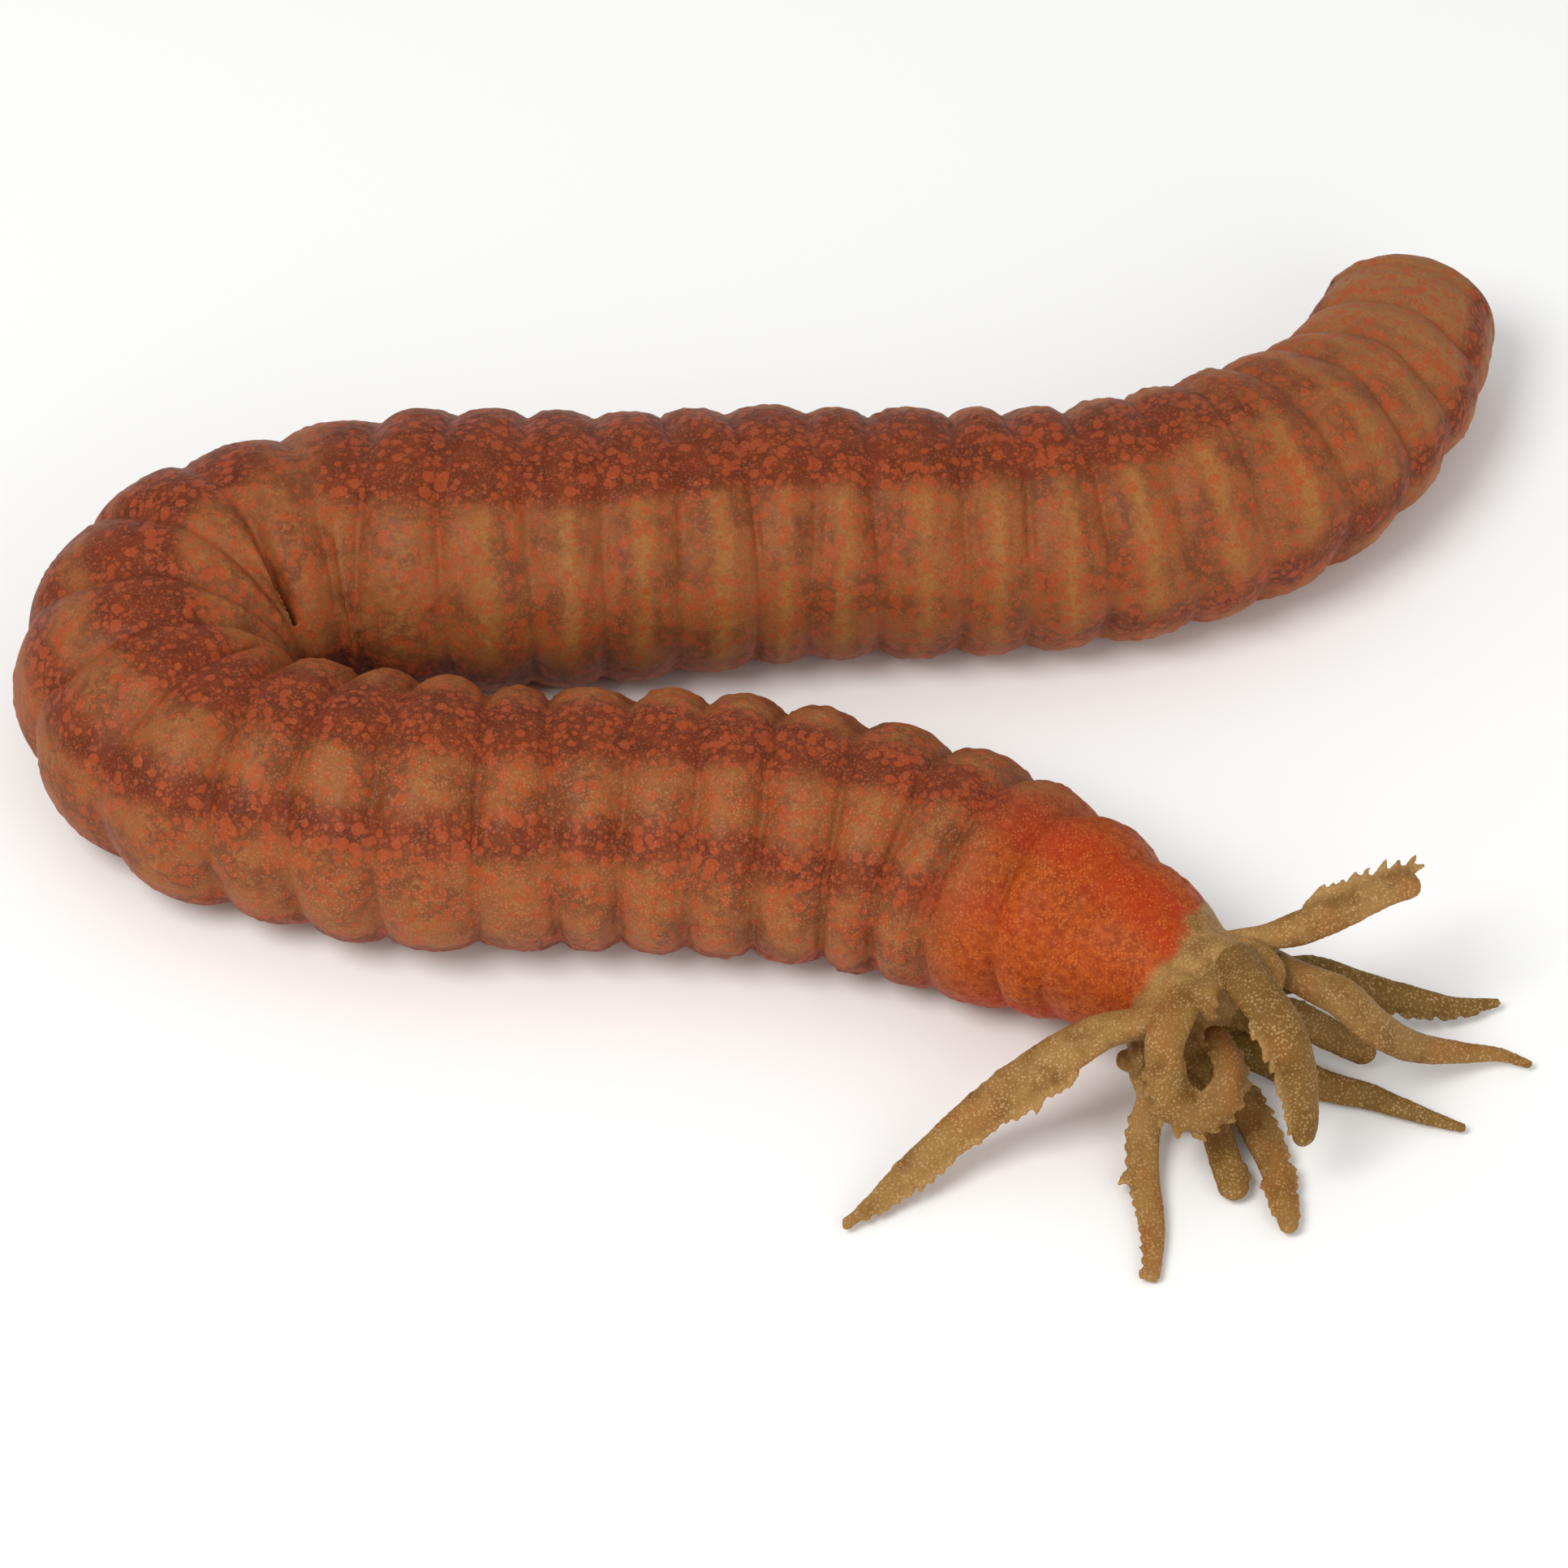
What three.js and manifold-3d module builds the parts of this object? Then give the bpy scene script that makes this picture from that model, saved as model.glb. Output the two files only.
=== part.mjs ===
import * as THREE from 'three';
import Module from 'manifold-3d';

// A worm sea cucumber at rest: a long soft body laid in a hairpin on the floor, its head
// a little raised, with fifteen feathery feeding tentacles round the mouth.
// Millimetres, +Z up. The origin is on the floor, under the middle of the animal's box.

// Driving sizes.
const ORIGIN_SHIFT = [1.76, 0.89, 0];
const PART_GAP = 0.3;
const WIDE = 0.06;
const REST_HEIGHT = 0.86;
const NECK_RISE = 8;
const NECK_RISE_LENGTH = 42;

// The body's middle line, from the tail to the bend and from the bend to the crown:
// x, y and half thickness.
const HIND_STATIONS = [
  [102, 101, 12.4],
  [97.5, 84, 14.4],
  [90, 68.5, 16],
  [77, 54.5, 18.2],
  [60, 44.5, 19],
  [41, 40, 19.2],
  [20, 38.5, 19.6],
  [-2, 37.5, 20.2],
  [-22, 34.5, 21],
  [-40, 32.6, 21.8],
  [-56, 32.6, 22],
];
const BEND = { x: -70.5, y: 6.4, radius: 26, half: 20.2, first: 92, last: 268, points: 5 };
const FORE_STATIONS = [
  [-55, -23.8, 21],
  [-40, -24.4, 20],
  [-25, -24.6, 19.9],
  [-8, -26, 20],
  [9, -28.8, 19.2],
  [25, -34.2, 18.7],
  [39, -43, 16.8],
  [51, -53.2, 13.6],
  [58.2, -60.2, 10.9],
];

// Ring-shaped bulges of the body wall, parted by sharp furrows and held in by five
// lengthwise muscle bands.
const BULGE_LENGTH = 11.2;
const BULGE_SPREAD = 0.2;
const HIND_FURROW = 1.9;
const FORE_FURROW = 2.8;
const FURROW_DEEPENS = [0.4, 0.65];
const BANDS = 5;
const BAND_HOLD = 0.45;
const FIRST_BAND = 5;
const RINGS_IN_BULGE = [0, 0.2, 0.5, 0.8];
const BODY_SIDES = 18;
const FURROW_SHARPNESS = 2.4;
const NECK_FURROW_FADE = 0.7;
const NECK_FADE_LENGTH = 24;
const CREASE_FURROW = 19;
const CREASE_DEPTH = 4.5;
const CREASE_REACH = 2;
const CREASE_MIDDLE = 78;
const TAIL_DOME = 9;
const TAIL_TURNS = [0.3, 0.55, 0.8, 1.1, 1.35];
const VENT_RADIUS = 1.6;
const VENT_DEPTH = 1.2;

// The parts of the body, from the tail to the neck, each with its number of bulges.
const BODY_LENGTHS = [
  ['tail', 3],
  ['hind_body_rear', 4],
  ['hind_body_middle', 4],
  ['hind_body_front', 4],
  ['bend_rear', 3],
  ['bend_middle', 3],
  ['bend_front', 3],
  ['fore_body_rear', 4],
  ['fore_body_middle', 4],
  ['fore_body_front', 3],
];

// Crown: a short collar, the oral disc with the mouth, and the roots of the tentacles.
const COLLAR = 7;
const CROWN_SIDES = 30;
const DISC_PROFILE = [
  [1.5, 0.96],
  [2.2, 0.86],
  [1.9, 0.7],
  [0.9, 0.5],
  [0.4, 0.34],
  [1.3, 0.26],
  [1.1, 0.17],
  [-0.5, 0.12],
  [-4, 0.1],
];
const SLOTS = 15;
const FIRST_SLOT = 11;
const SLOT_RADIUS = 9.5;
const SLOT_ADVANCE = 1.5;
const ROOT_SUNK = 4;
const ROOT_PROUD = 2.6;
const ROOT_WIDTH = 4.1;
const THICKNESS = 0.72;
const LEAD = 2.6;
const TENTACLE_SIDES = 10;
const TENTACLE_STEP = 3.2;
const STALK_SHARE = 0.52;
const TIP_ROUNDING = [0.45, 0.12];
const SHORT_TENTACLE = 22;
const BELLY_SHARE = 0.4;
const TAPER_SHARE = 0.35;
const TAPER_POWER = 1.4;
const TWIST_SHARE = 0.35;

// Pinnules: small tapered fingers along both edges of every tentacle, leaning to its tip.
// Each is sunk in the strap by a share of the strap's width, and is never thicker than a
// share of it; its middle and its end are placed by shares of its own length.
const PINNULE_PITCH = 3.5;
const PINNULE_THICKNESS = 1.3;
const PINNULE_SUNK = 0.34;
const PINNULE_MOST = 0.34;
const PINNULE_MIDDLE = 0.6;
const PINNULE_MIDDLE_THICKNESS = 0.84;
const PINNULE_CURL = 0.12;
const PINNULE_LEAN = 48;
const PINNULE_SIDES = 4;
const PINNULE_SPREAD = 0.5;
const FIRST_PINNULE = 5;
const BARE_SHARE = 0.26;
const BARE_TIP = 1;
const CLEARANCE = 0.6;

// Tentacles in the order of their slots, from the top of the crown round its left side.
// Each has its lean away from the crown's axis, its greatest width, its width at the tip,
// and the twist of its broad side. The fringe is the length of the pinnules on its left
// and right edge, and the tuck is their turn towards the mouth's side, or away from it where
// it is negative. The route runs on past the root.
const TENTACLES = [
  {
    spread: 28, belly: 7.2, tip: 4, twist: 0, fringe: [1, 2], tuck: [60, 0],
    route: [[68.5, -73, 30.5], [72.5, -78.5, 28], [75, -81, 21.5], [76, -82.5, 15], [76, -85, 10]],
  },
  {
    spread: 34, belly: 4.6, tip: 3, twist: 0, fringe: [1.2, 1.2], tuck: [0, 0],
    route: [[72, -64, 25], [71.5, -65, 19.5]],
  },
  {
    spread: 55, belly: 5.4, tip: 4.2, twist: 80, fringe: [4, 0.9], tuck: [0, -60],
    route: [[80.5, -54.8, 27], [88, -51.5, 28.5], [94, -49, 28.5]],
  },
  {
    spread: 44, belly: 6.2, tip: 1.3, twist: 80, fringe: [1.4, 1.4], tuck: [60, 60],
    route: [
      [76, -61, 20.5], [82, -65, 20.5], [87, -66, 15.5], [93, -64, 9],
      [100.5, -61, 4.5], [106.5, -59.5, 2.4], [111.5, -60.5, 1.2],
    ],
  },
  {
    spread: 44, belly: 5.8, tip: 1.4, twist: -50, fringe: [1.4, 1], tuck: [0, -60],
    route: [[78, -51, 11], [85.5, -51, 8], [93.5, -51, 5.5], [100.5, -50.5, 3.4], [107.5, -48, 1.6]],
  },
  {
    spread: 36, belly: 5.4, tip: 4.4, twist: 0, fringe: [1.2, 1.2], tuck: [-60, -60],
    route: [[75, -58, 9.5], [81.5, -59, 6], [88, -60.5, 3]],
  },
  {
    spread: 28, belly: 5.2, tip: 1.4, twist: 0, fringe: [1.2, 1.2], tuck: [-60, -60],
    route: [[71.5, -62, 4.2], [79.5, -66, 3], [87, -68, 2.3], [94, -71, 1.8], [101, -73.5, 1.2]],
  },
  {
    spread: 24, belly: 5.4, tip: 2.8, twist: 0, fringe: [1.2, 1.2], tuck: [0, 0],
    route: [[67.5, -69, 3], [71, -78.5, 2.5], [73, -86.5, 2.1], [74, -94.5, 1.7]],
  },
  {
    spread: 24, belly: 5, tip: 4.6, twist: 30, fringe: [1.2, 1.2], tuck: [-60, 0],
    route: [[63, -72.5, 2.8], [65, -81, 2.3], [66.5, -88, 2]],
  },
  {
    spread: 28, belly: 4, tip: 2.8, twist: 0, fringe: [1.1, 1.1], tuck: [0, 0],
    route: [[57.5, -72.5, 5], [58.2, -74.5, 3]],
  },
  {
    spread: 43, belly: 4.9, tip: 2.4, twist: 90, fringe: [0.8, 1.2], tuck: [0, -60],
    route: [[54, -74, 8.6], [53, -78, 4.5], [53, -84.5, 2.5], [54, -93.5, 1.7], [53.5, -103.5, 1.2]],
  },
  {
    spread: 52, belly: 3.8, tip: 2.8, twist: 0, fringe: [1.1, 1.1], tuck: [0, 0],
    route: [[52, -74, 16.2], [49, -71.5, 14.6]],
  },
  {
    spread: 66, belly: 6.6, tip: 1.8, twist: -85, fringe: [1.7, 1.4], tuck: [0, 60],
    route: [
      [46, -72.5, 20.5], [37, -75, 15.5], [28.5, -78, 10],
      [21.5, -82.5, 6], [15, -87.5, 3.2], [8.5, -93.5, 1.4],
    ],
  },
  {
    spread: 44, belly: 5.8, tip: 4, twist: -85, fringe: [0.9, 1.6], tuck: [0, 0],
    route: [
      [55.5, -78, 25], [56, -80.5, 18], [59.5, -81.5, 13], [64, -80, 14],
      [65.5, -76, 16.5], [64, -71, 17], [63.2, -67.5, 16.6],
    ],
  },
  {
    spread: 30, belly: 4.2, tip: 2.8, twist: 0, fringe: [1.1, 1.1], tuck: [0, 0],
    route: [[61.6, -72.5, 28.5], [62.1, -72.5, 24]],
  },
];

const UPWARD = new THREE.Vector3(0, 0, 1);
const NEAR = 0.1;
const STEPS_A_ROW = 40;
const DRAW_FACTOR = 1664525;
const DRAW_STEP = 1013904223;
const DRAW_RANGE = 2 ** 32;
const FURROW_SEED = 5;
const PINNULE_SEED = 40;
const { lerp, smoothstep, degToRad, clamp } = THREE.MathUtils;

const wasm = await Module();
wasm.setup();

// Draws numbers between 0 and 1 from a seed.
function seeded(seed) {
  let state = seed;
  return () => {
    state = (state * DRAW_FACTOR + DRAW_STEP) % DRAW_RANGE;
    return state / DRAW_RANGE;
  };
}

function rowAt(rows, k) {
  const last = rows.length - 1;
  if (k < 0) return rows[0].map((value, c) => 2 * value - rows[1][c]);
  if (k > last) return rows[last].map((value, c) => 2 * value - rows[last - 1][c]);
  return rows[k];
}

// A smooth value that passes through the rows of a table, t rows from its start.
function through(rows, t) {
  const k = clamp(Math.floor(t), 0, rows.length - 2);
  const f = t - k;
  const [a, b, c, d] = [-1, 0, 1, 2].map((step) => rowAt(rows, k + step));
  return b.map((value, i) => {
    const slope = c[i] - a[i];
    const rise = 2 * a[i] - 5 * value + 4 * c[i] - d[i];
    const turn = 3 * value - a[i] - 3 * c[i] + d[i];
    return value + 0.5 * f * (slope + f * (rise + f * turn));
  });
}

// A route measured by its length along the first few columns of its rows.
class Track {
  constructor(rows, columns) {
    this.rows = rows;
    this.marks = [0];
    let before = through(rows, 0);
    for (let k = 1; k <= (rows.length - 1) * STEPS_A_ROW; k += 1) {
      const here = through(rows, k / STEPS_A_ROW);
      const step = Math.hypot(...here.slice(0, columns).map((value, c) => value - before[c]));
      this.marks.push(this.marks[k - 1] + step);
      before = here;
    }
    this.length = this.marks[this.marks.length - 1];
  }

  at(distance) {
    const last = this.marks.length - 2;
    let k = this.marks.findIndex((mark) => mark > distance) - 1;
    if (k < 0) k = distance < 0 ? 0 : last;
    const f = (distance - this.marks[k]) / (this.marks[k + 1] - this.marks[k]);
    return through(this.rows, (k + f) / STEPS_A_ROW);
  }
}

// A closed skin through rings of points, with a flat fan or a point at each end.
function loft(rings, startPoint, endPoint) {
  const sides = rings[0].length;
  const middle = (ring) => ring.reduce((sum, p) => sum.add(p), new THREE.Vector3()).divideScalar(sides);
  const points = [...rings.flat(), startPoint ?? middle(rings[0]), endPoint ?? middle(rings.at(-1))];
  const start = points.length - 2;
  const end = points.length - 1;
  const last = (rings.length - 1) * sides;
  const faces = [];
  for (let j = 0; j < sides; j += 1) {
    const next = (j + 1) % sides;
    faces.push(start, j, next, end, last + next, last + j);
    for (let row = 0; row < last; row += sides) {
      faces.push(row + j, row + sides + next, row + next, row + j, row + sides + j, row + sides + next);
    }
  }
  const geometry = new THREE.BufferGeometry();
  geometry.setAttribute('position', new THREE.Float32BufferAttribute(points.flatMap((p) => p.toArray()), 3));
  geometry.setIndex(faces);
  return geometry;
}

const bendRows = Array.from({ length: BEND.points }, (_, k) => {
  const angle = degToRad(lerp(BEND.first, BEND.last, k / (BEND.points - 1)));
  return [BEND.x + BEND.radius * Math.cos(angle), BEND.y + BEND.radius * Math.sin(angle), BEND.half];
});
const body = new Track([...HIND_STATIONS, ...bendRows, ...FORE_STATIONS], 2);
const crownAt = body.length;
const neckEnd = crownAt - COLLAR;

const draw = seeded(FURROW_SEED);
const furrows = [TAIL_DOME];
while (furrows.at(-1) + BULGE_LENGTH < neckEnd) {
  furrows.push(furrows.at(-1) + BULGE_LENGTH * (1 + BULGE_SPREAD * (draw() - 0.5)));
}

// How far the head has risen from the floor: 0 along the body, 1 at the crown.
function raised(s) {
  return smoothstep(s, crownAt - NECK_RISE_LENGTH, crownAt);
}

function bodyCentre(s) {
  const [x, y, half] = body.at(s);
  return new THREE.Vector3(x, y, REST_HEIGHT * half + NECK_RISE * raised(s));
}

function bodyFrame(s) {
  const centre = bodyCentre(s);
  const ahead = bodyCentre(s + NEAR).sub(bodyCentre(s - NEAR)).normalize();
  const left = new THREE.Vector3().crossVectors(UPWARD, ahead).normalize();
  const top = new THREE.Vector3().crossVectors(ahead, left);
  return { centre, ahead, left, top };
}

// The deep crease on the inner side where the body starts to bend.
function creaseDip(s, psi) {
  const near = Math.exp(-(((s - furrows[CREASE_FURROW]) / CREASE_REACH) ** 2));
  return CREASE_DEPTH * near * Math.max(0, Math.cos(psi - degToRad(CREASE_MIDDLE)));
}

// The dip of the body wall into a furrow, at s along the body and psi round it.
function furrowDip(s, psi) {
  const k = furrows.findIndex((edge) => edge > s);
  if (k <= 0) return 0;
  const across = (s - furrows[k - 1]) / (furrows[k] - furrows[k - 1]);
  const [start, end] = FURROW_DEEPENS.map((share) => share * crownAt);
  const deepest = lerp(HIND_FURROW, FORE_FURROW, smoothstep(s, start, end));
  const fade = 1 - NECK_FURROW_FADE * smoothstep(s, neckEnd - NECK_FADE_LENGTH, neckEnd);
  const band = 0.5 + 0.5 * Math.cos(BANDS * (psi - degToRad(FIRST_BAND)));
  const shape = Math.abs(2 * across - 1) ** FURROW_SHARPNESS;
  const furrow = deepest * fade * (1 - BAND_HOLD * band) * shape;
  return Math.max(furrow, creaseDip(s, psi));
}

// Points round the body at s. The belly lies flat where it would pass the floor.
function bodyRing(s, sides, half, ahead = 0) {
  const { centre, left, top, ahead: heading } = bodyFrame(s);
  centre.addScaledVector(heading, ahead);
  const wide = WIDE * (1 - raised(s));
  const floor = -centre.z / top.z;
  return Array.from({ length: sides }, (_, j) => {
    const psi = (2 * Math.PI * j) / sides;
    const reach = half - furrowDip(s, psi);
    const across = (1 + wide) * reach * Math.sin(psi);
    const rise = Math.max((1 - wide) * reach * Math.cos(psi), floor);
    return centre.clone().addScaledVector(left, across).addScaledVector(top, rise);
  });
}

const halfAt = (s) => body.at(s)[2];

// The places of the rings between two cuts.
function ringsBetween(from, to) {
  const marks = furrows.flatMap((edge, k) => {
    const long = (furrows[k + 1] ?? edge) - edge;
    return RINGS_IN_BULGE.map((share) => edge + share * long);
  });
  return [...new Set(marks)].filter((s) => s > from + 1 && s < to - 1);
}

const evenRing = (s, shift) => bodyRing(s, BODY_SIDES, halfAt(s), shift);

function makeBodyLength(from, to) {
  const inner = ringsBetween(from, to).map((s) => evenRing(s));
  return loft([evenRing(from, PART_GAP / 2), ...inner, evenRing(to, -PART_GAP / 2)]);
}

// The blunt tail end with the dimple of the vent, up to the first cut.
function makeTail(to) {
  const dome = TAIL_TURNS.map((turn) => {
    const s = TAIL_DOME * (1 - Math.cos(turn));
    return bodyRing(s, BODY_SIDES, halfAt(TAIL_DOME) * Math.sin(turn));
  });
  const rim = bodyRing(0, BODY_SIDES, VENT_RADIUS);
  const inner = ringsBetween(TAIL_DOME - 1, to).map((s) => evenRing(s));
  return loft([rim, ...dome, ...inner, evenRing(to, -PART_GAP / 2)], bodyCentre(VENT_DEPTH));
}

// Where a tentacle leaves the crown, its direction and the way its outer side faces.
const mouthFrame = bodyFrame(crownAt);
function slotFrame(k) {
  const psi = degToRad(FIRST_SLOT + (k * 360) / SLOTS);
  const outward = mouthFrame.top.clone().multiplyScalar(Math.cos(psi));
  outward.addScaledVector(mouthFrame.left, Math.sin(psi));
  const spread = degToRad(TENTACLES[k].spread);
  const ahead = mouthFrame.ahead.clone().multiplyScalar(Math.cos(spread));
  ahead.addScaledVector(outward, Math.sin(spread));
  const place = mouthFrame.centre.clone().addScaledVector(outward, SLOT_RADIUS);
  place.addScaledVector(mouthFrame.ahead, SLOT_ADVANCE);
  const face = outward.clone().addScaledVector(ahead, -outward.dot(ahead)).normalize();
  return { place, ahead, face };
}

function strapRing(centre, ahead, face, width) {
  const side = new THREE.Vector3().crossVectors(face, ahead).normalize();
  return Array.from({ length: TENTACLE_SIDES }, (_, j) => {
    const turn = (2 * Math.PI * j) / TENTACLE_SIDES;
    const point = centre.clone().addScaledVector(side, 0.5 * width * Math.sin(turn));
    point.addScaledVector(face, 0.5 * THICKNESS * width * Math.cos(turn));
    point.z = Math.max(point.z, 0);
    return point;
  });
}

function makeStub(k) {
  const { place, ahead, face } = slotFrame(k);
  const rings = [-ROOT_SUNK, ROOT_PROUD].map((step) => {
    const centre = place.clone().addScaledVector(ahead, step);
    return strapRing(centre, ahead, face, ROOT_WIDTH);
  });
  return loft(rings);
}

function toSolid(geometry) {
  const vertProperties = new Float32Array(geometry.getAttribute('position').array);
  const triVerts = new Uint32Array(geometry.getIndex().array);
  return new wasm.Manifold(new wasm.Mesh({ numProp: 3, vertProperties, triVerts }));
}

// The joined pieces as one closed surface; scraps that touch nothing are dropped.
function join(pieces) {
  const whole = pieces.map(toSolid).reduce((sum, piece) => sum.add(piece));
  const parts = whole.decompose().sort((a, b) => b.volume() - a.volume());
  const mesh = parts[0].getMesh();
  const geometry = new THREE.BufferGeometry();
  geometry.setAttribute('position', new THREE.BufferAttribute(mesh.vertProperties, 3));
  geometry.setIndex(new THREE.BufferAttribute(mesh.triVerts, 1));
  return geometry;
}

function makeCrown() {
  const { centre, ahead, left, top } = mouthFrame;
  const rings = [bodyRing(neckEnd, CROWN_SIDES, halfAt(neckEnd), PART_GAP / 2)];
  [neckEnd + COLLAR / 2, crownAt].forEach((s) => rings.push(bodyRing(s, CROWN_SIDES, halfAt(s))));
  DISC_PROFILE.forEach(([advance, share]) => {
    const middle = centre.clone().addScaledVector(ahead, advance);
    rings.push(Array.from({ length: CROWN_SIDES }, (_, j) => {
      const psi = (2 * Math.PI * j) / CROWN_SIDES;
      const reach = share * halfAt(crownAt);
      const point = middle.clone().addScaledVector(left, reach * Math.sin(psi));
      return point.addScaledVector(top, reach * Math.cos(psi));
    }));
  });
  return join([loft(rings), ...Array.from({ length: SLOTS }, (_, k) => makeStub(k))]);
}

// The places along a tentacle: its centre, direction and outer side, which is carried
// along the route without turning and then given its twist.
function tentacleFrames(k) {
  const { place, ahead, face } = slotFrame(k);
  const { route, twist } = TENTACLES[k];
  const root = place.clone().addScaledVector(ahead, ROOT_PROUD + PART_GAP);
  const lead = root.clone().addScaledVector(ahead, LEAD);
  const track = new Track([root.toArray(), lead.toArray(), ...route], 3);
  const pointAt = (s) => new THREE.Vector3(...track.at(s));
  const headingAt = (s) => pointAt(s + NEAR).sub(pointAt(s - NEAR)).normalize();
  const carried = [face.clone()];
  const step = 0.5;
  for (let s = step; s <= track.length + step; s += step) {
    const heading = headingAt(s);
    const before = carried.at(-1);
    carried.push(before.clone().addScaledVector(heading, -before.dot(heading)).normalize());
  }
  const frameAt = (s) => {
    const heading = s === 0 ? ahead.clone() : headingAt(s);
    const outer = carried[Math.round(s / step)].clone();
    outer.addScaledVector(heading, -outer.dot(heading)).normalize();
    outer.applyAxisAngle(heading, degToRad(twist) * smoothstep(s / track.length, 0, TWIST_SHARE));
    return { centre: pointAt(s), ahead: heading, face: outer };
  };
  return { frameAt, length: track.length };
}

function widthAt(k, s, length) {
  const { belly, tip } = TENTACLES[k];
  const share = s / length;
  const wide = lerp(ROOT_WIDTH, belly, smoothstep(share, 0, BELLY_SHARE));
  const tapered = clamp((share - TAPER_SHARE) / (1 - TAPER_SHARE), 0, 1);
  const width = lerp(wide, tip, tapered ** TAPER_POWER);
  const left = clamp((length - s) / (0.5 * tip), 0, 1);
  return width * Math.sqrt(1 - (1 - left) ** 2);
}

// Every tentacle's route with marks along it, so that pinnules can keep clear of the others.
const straps = TENTACLES.map((_, k) => {
  const frames = tentacleFrames(k);
  const count = Math.ceil(frames.length);
  const marks = Array.from({ length: count + 1 }, (_, j) => {
    const s = (frames.length * j) / count;
    return { centre: frames.frameAt(s).centre, width: widthAt(k, s, frames.length) };
  });
  return { ...frames, marks };
});

// One pinnule at s on an edge: its root is sunk in the strap and its end leans to the tip.
// Hand is 1 for the strap's left edge and -1 for its right one.
function makePinnule(k, s, hand, long, frames) {
  const { centre, ahead, face } = frames.frameAt(s);
  const width = widthAt(k, s, frames.length);
  const side = new THREE.Vector3().crossVectors(face, ahead).multiplyScalar(hand);
  const tuck = degToRad(TENTACLES[k].tuck[hand > 0 ? 0 : 1]);
  const out = side.clone().multiplyScalar(Math.cos(tuck)).addScaledVector(face, -Math.sin(tuck));
  const lean = degToRad(PINNULE_LEAN);
  const along = out.clone().multiplyScalar(Math.sin(lean)).addScaledVector(ahead, Math.cos(lean));
  const edge = 0.5 * width * Math.hypot(Math.cos(tuck), THICKNESS * Math.sin(tuck));
  const thick = Math.min(PINNULE_THICKNESS, PINNULE_MOST * width);
  const base = centre.clone().addScaledVector(out, edge);
  const across = new THREE.Vector3().crossVectors(face, along).normalize();
  const upright = new THREE.Vector3().crossVectors(along, across);
  const ringAt = (place, radius) => Array.from({ length: PINNULE_SIDES }, (_, j) => {
    const turn = (2 * Math.PI * j) / PINNULE_SIDES;
    const point = place.clone().addScaledVector(upright, radius * Math.cos(turn));
    point.addScaledVector(across, radius * Math.sin(turn));
    point.z = Math.max(point.z, NEAR);
    return point;
  });
  const root = base.clone().addScaledVector(out, -PINNULE_SUNK * width);
  const middle = base.clone().addScaledVector(along, PINNULE_MIDDLE * long);
  const end = base.clone().addScaledVector(along, long).addScaledVector(ahead, PINNULE_CURL * long);
  end.z = Math.max(end.z, 2 * NEAR);
  const rings = [ringAt(root, thick / 2), ringAt(middle, (PINNULE_MIDDLE_THICKNESS * thick) / 2)];
  return { rings, end };
}

// How far a point lies outside the nearest of the other tentacles. The earlier ones already
// have their pinnules, so those are counted in.
function clearOf(point, k) {
  const gaps = straps.flatMap(({ marks }, other) => {
    if (other === k) return [];
    const fringe = other < k ? Math.max(...TENTACLES[other].fringe) : 0;
    return marks.map(({ centre, width }) => centre.distanceTo(point) - width / 2 - fringe);
  });
  return Math.min(...gaps);
}

// All the pinnules of a tentacle whose roots lie between two cuts. They keep off the cuts
// and leave out the places where another tentacle lies against the edge.
function makePinnules(k, from, to) {
  const frames = straps[k];
  const pieces = [];
  const room = PINNULE_THICKNESS / 2 + PART_GAP;
  const last = to < frames.length ? to - room : to - BARE_TIP;
  [1, -1].forEach((hand) => {
    const reach = TENTACLES[k].fringe[hand > 0 ? 0 : 1];
    const draw = seeded(PINNULE_SEED * (k + 2) + hand);
    const first = Math.max(BARE_SHARE * frames.length, FIRST_PINNULE);
    for (let s = first; s < last; s += PINNULE_PITCH) {
      const place = s + PINNULE_PITCH * PINNULE_SPREAD * (draw() - 0.5);
      const long = reach * (1 + PINNULE_SPREAD * (draw() - 0.5));
      const ahead = long * Math.cos(degToRad(PINNULE_LEAN));
      const { rings, end } = makePinnule(k, place, hand, long, frames);
      const fits = place > from + room && place + ahead < last;
      if (fits && clearOf(end, k) > CLEARANCE) pieces.push(loft(rings, undefined, end));
    }
  });
  return pieces;
}

// A length of a tentacle between two cuts; the last one closes at the tip.
function makeTentacleLength(k, from, to, frames) {
  const { frameAt, length } = frames;
  const closing = to === length;
  const tip = TENTACLES[k].tip / 2;
  const open = closing ? length - tip : to;
  const count = Math.max(2, Math.round((open - from) / TENTACLE_STEP));
  const rings = Array.from({ length: count + 1 }, (_, j) => {
    const s = lerp(from, open, j / count);
    const { centre, ahead, face } = frameAt(s);
    if (j === 0 && from > 0) centre.addScaledVector(ahead, PART_GAP / 2);
    if (j === count && !closing) centre.addScaledVector(ahead, -PART_GAP / 2);
    return strapRing(centre, ahead, face, widthAt(k, s, length));
  });
  if (!closing) return loft(rings);
  TIP_ROUNDING.forEach((share) => {
    const s = length - share * tip;
    const { centre, ahead, face } = frameAt(s);
    rings.push(strapRing(centre, ahead, face, widthAt(k, s, length)));
  });
  return loft(rings, undefined, frameAt(length).centre);
}

const HIND_SKIN = new THREE.MeshStandardMaterial({ color: 0x93502f, roughness: 0.5, metalness: 0 });
const FORE_SKIN = new THREE.MeshStandardMaterial({ color: 0x9b5535, roughness: 0.5, metalness: 0 });
const NECK_SKIN = new THREE.MeshStandardMaterial({ color: 0xa94f26, roughness: 0.45, metalness: 0 });
const CROWN_SKIN = new THREE.MeshStandardMaterial({ color: 0x926c39, roughness: 0.45, metalness: 0 });
const TENTACLE_SKIN = new THREE.MeshStandardMaterial({ color: 0x94703f, roughness: 0.45, metalness: 0 });

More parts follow.
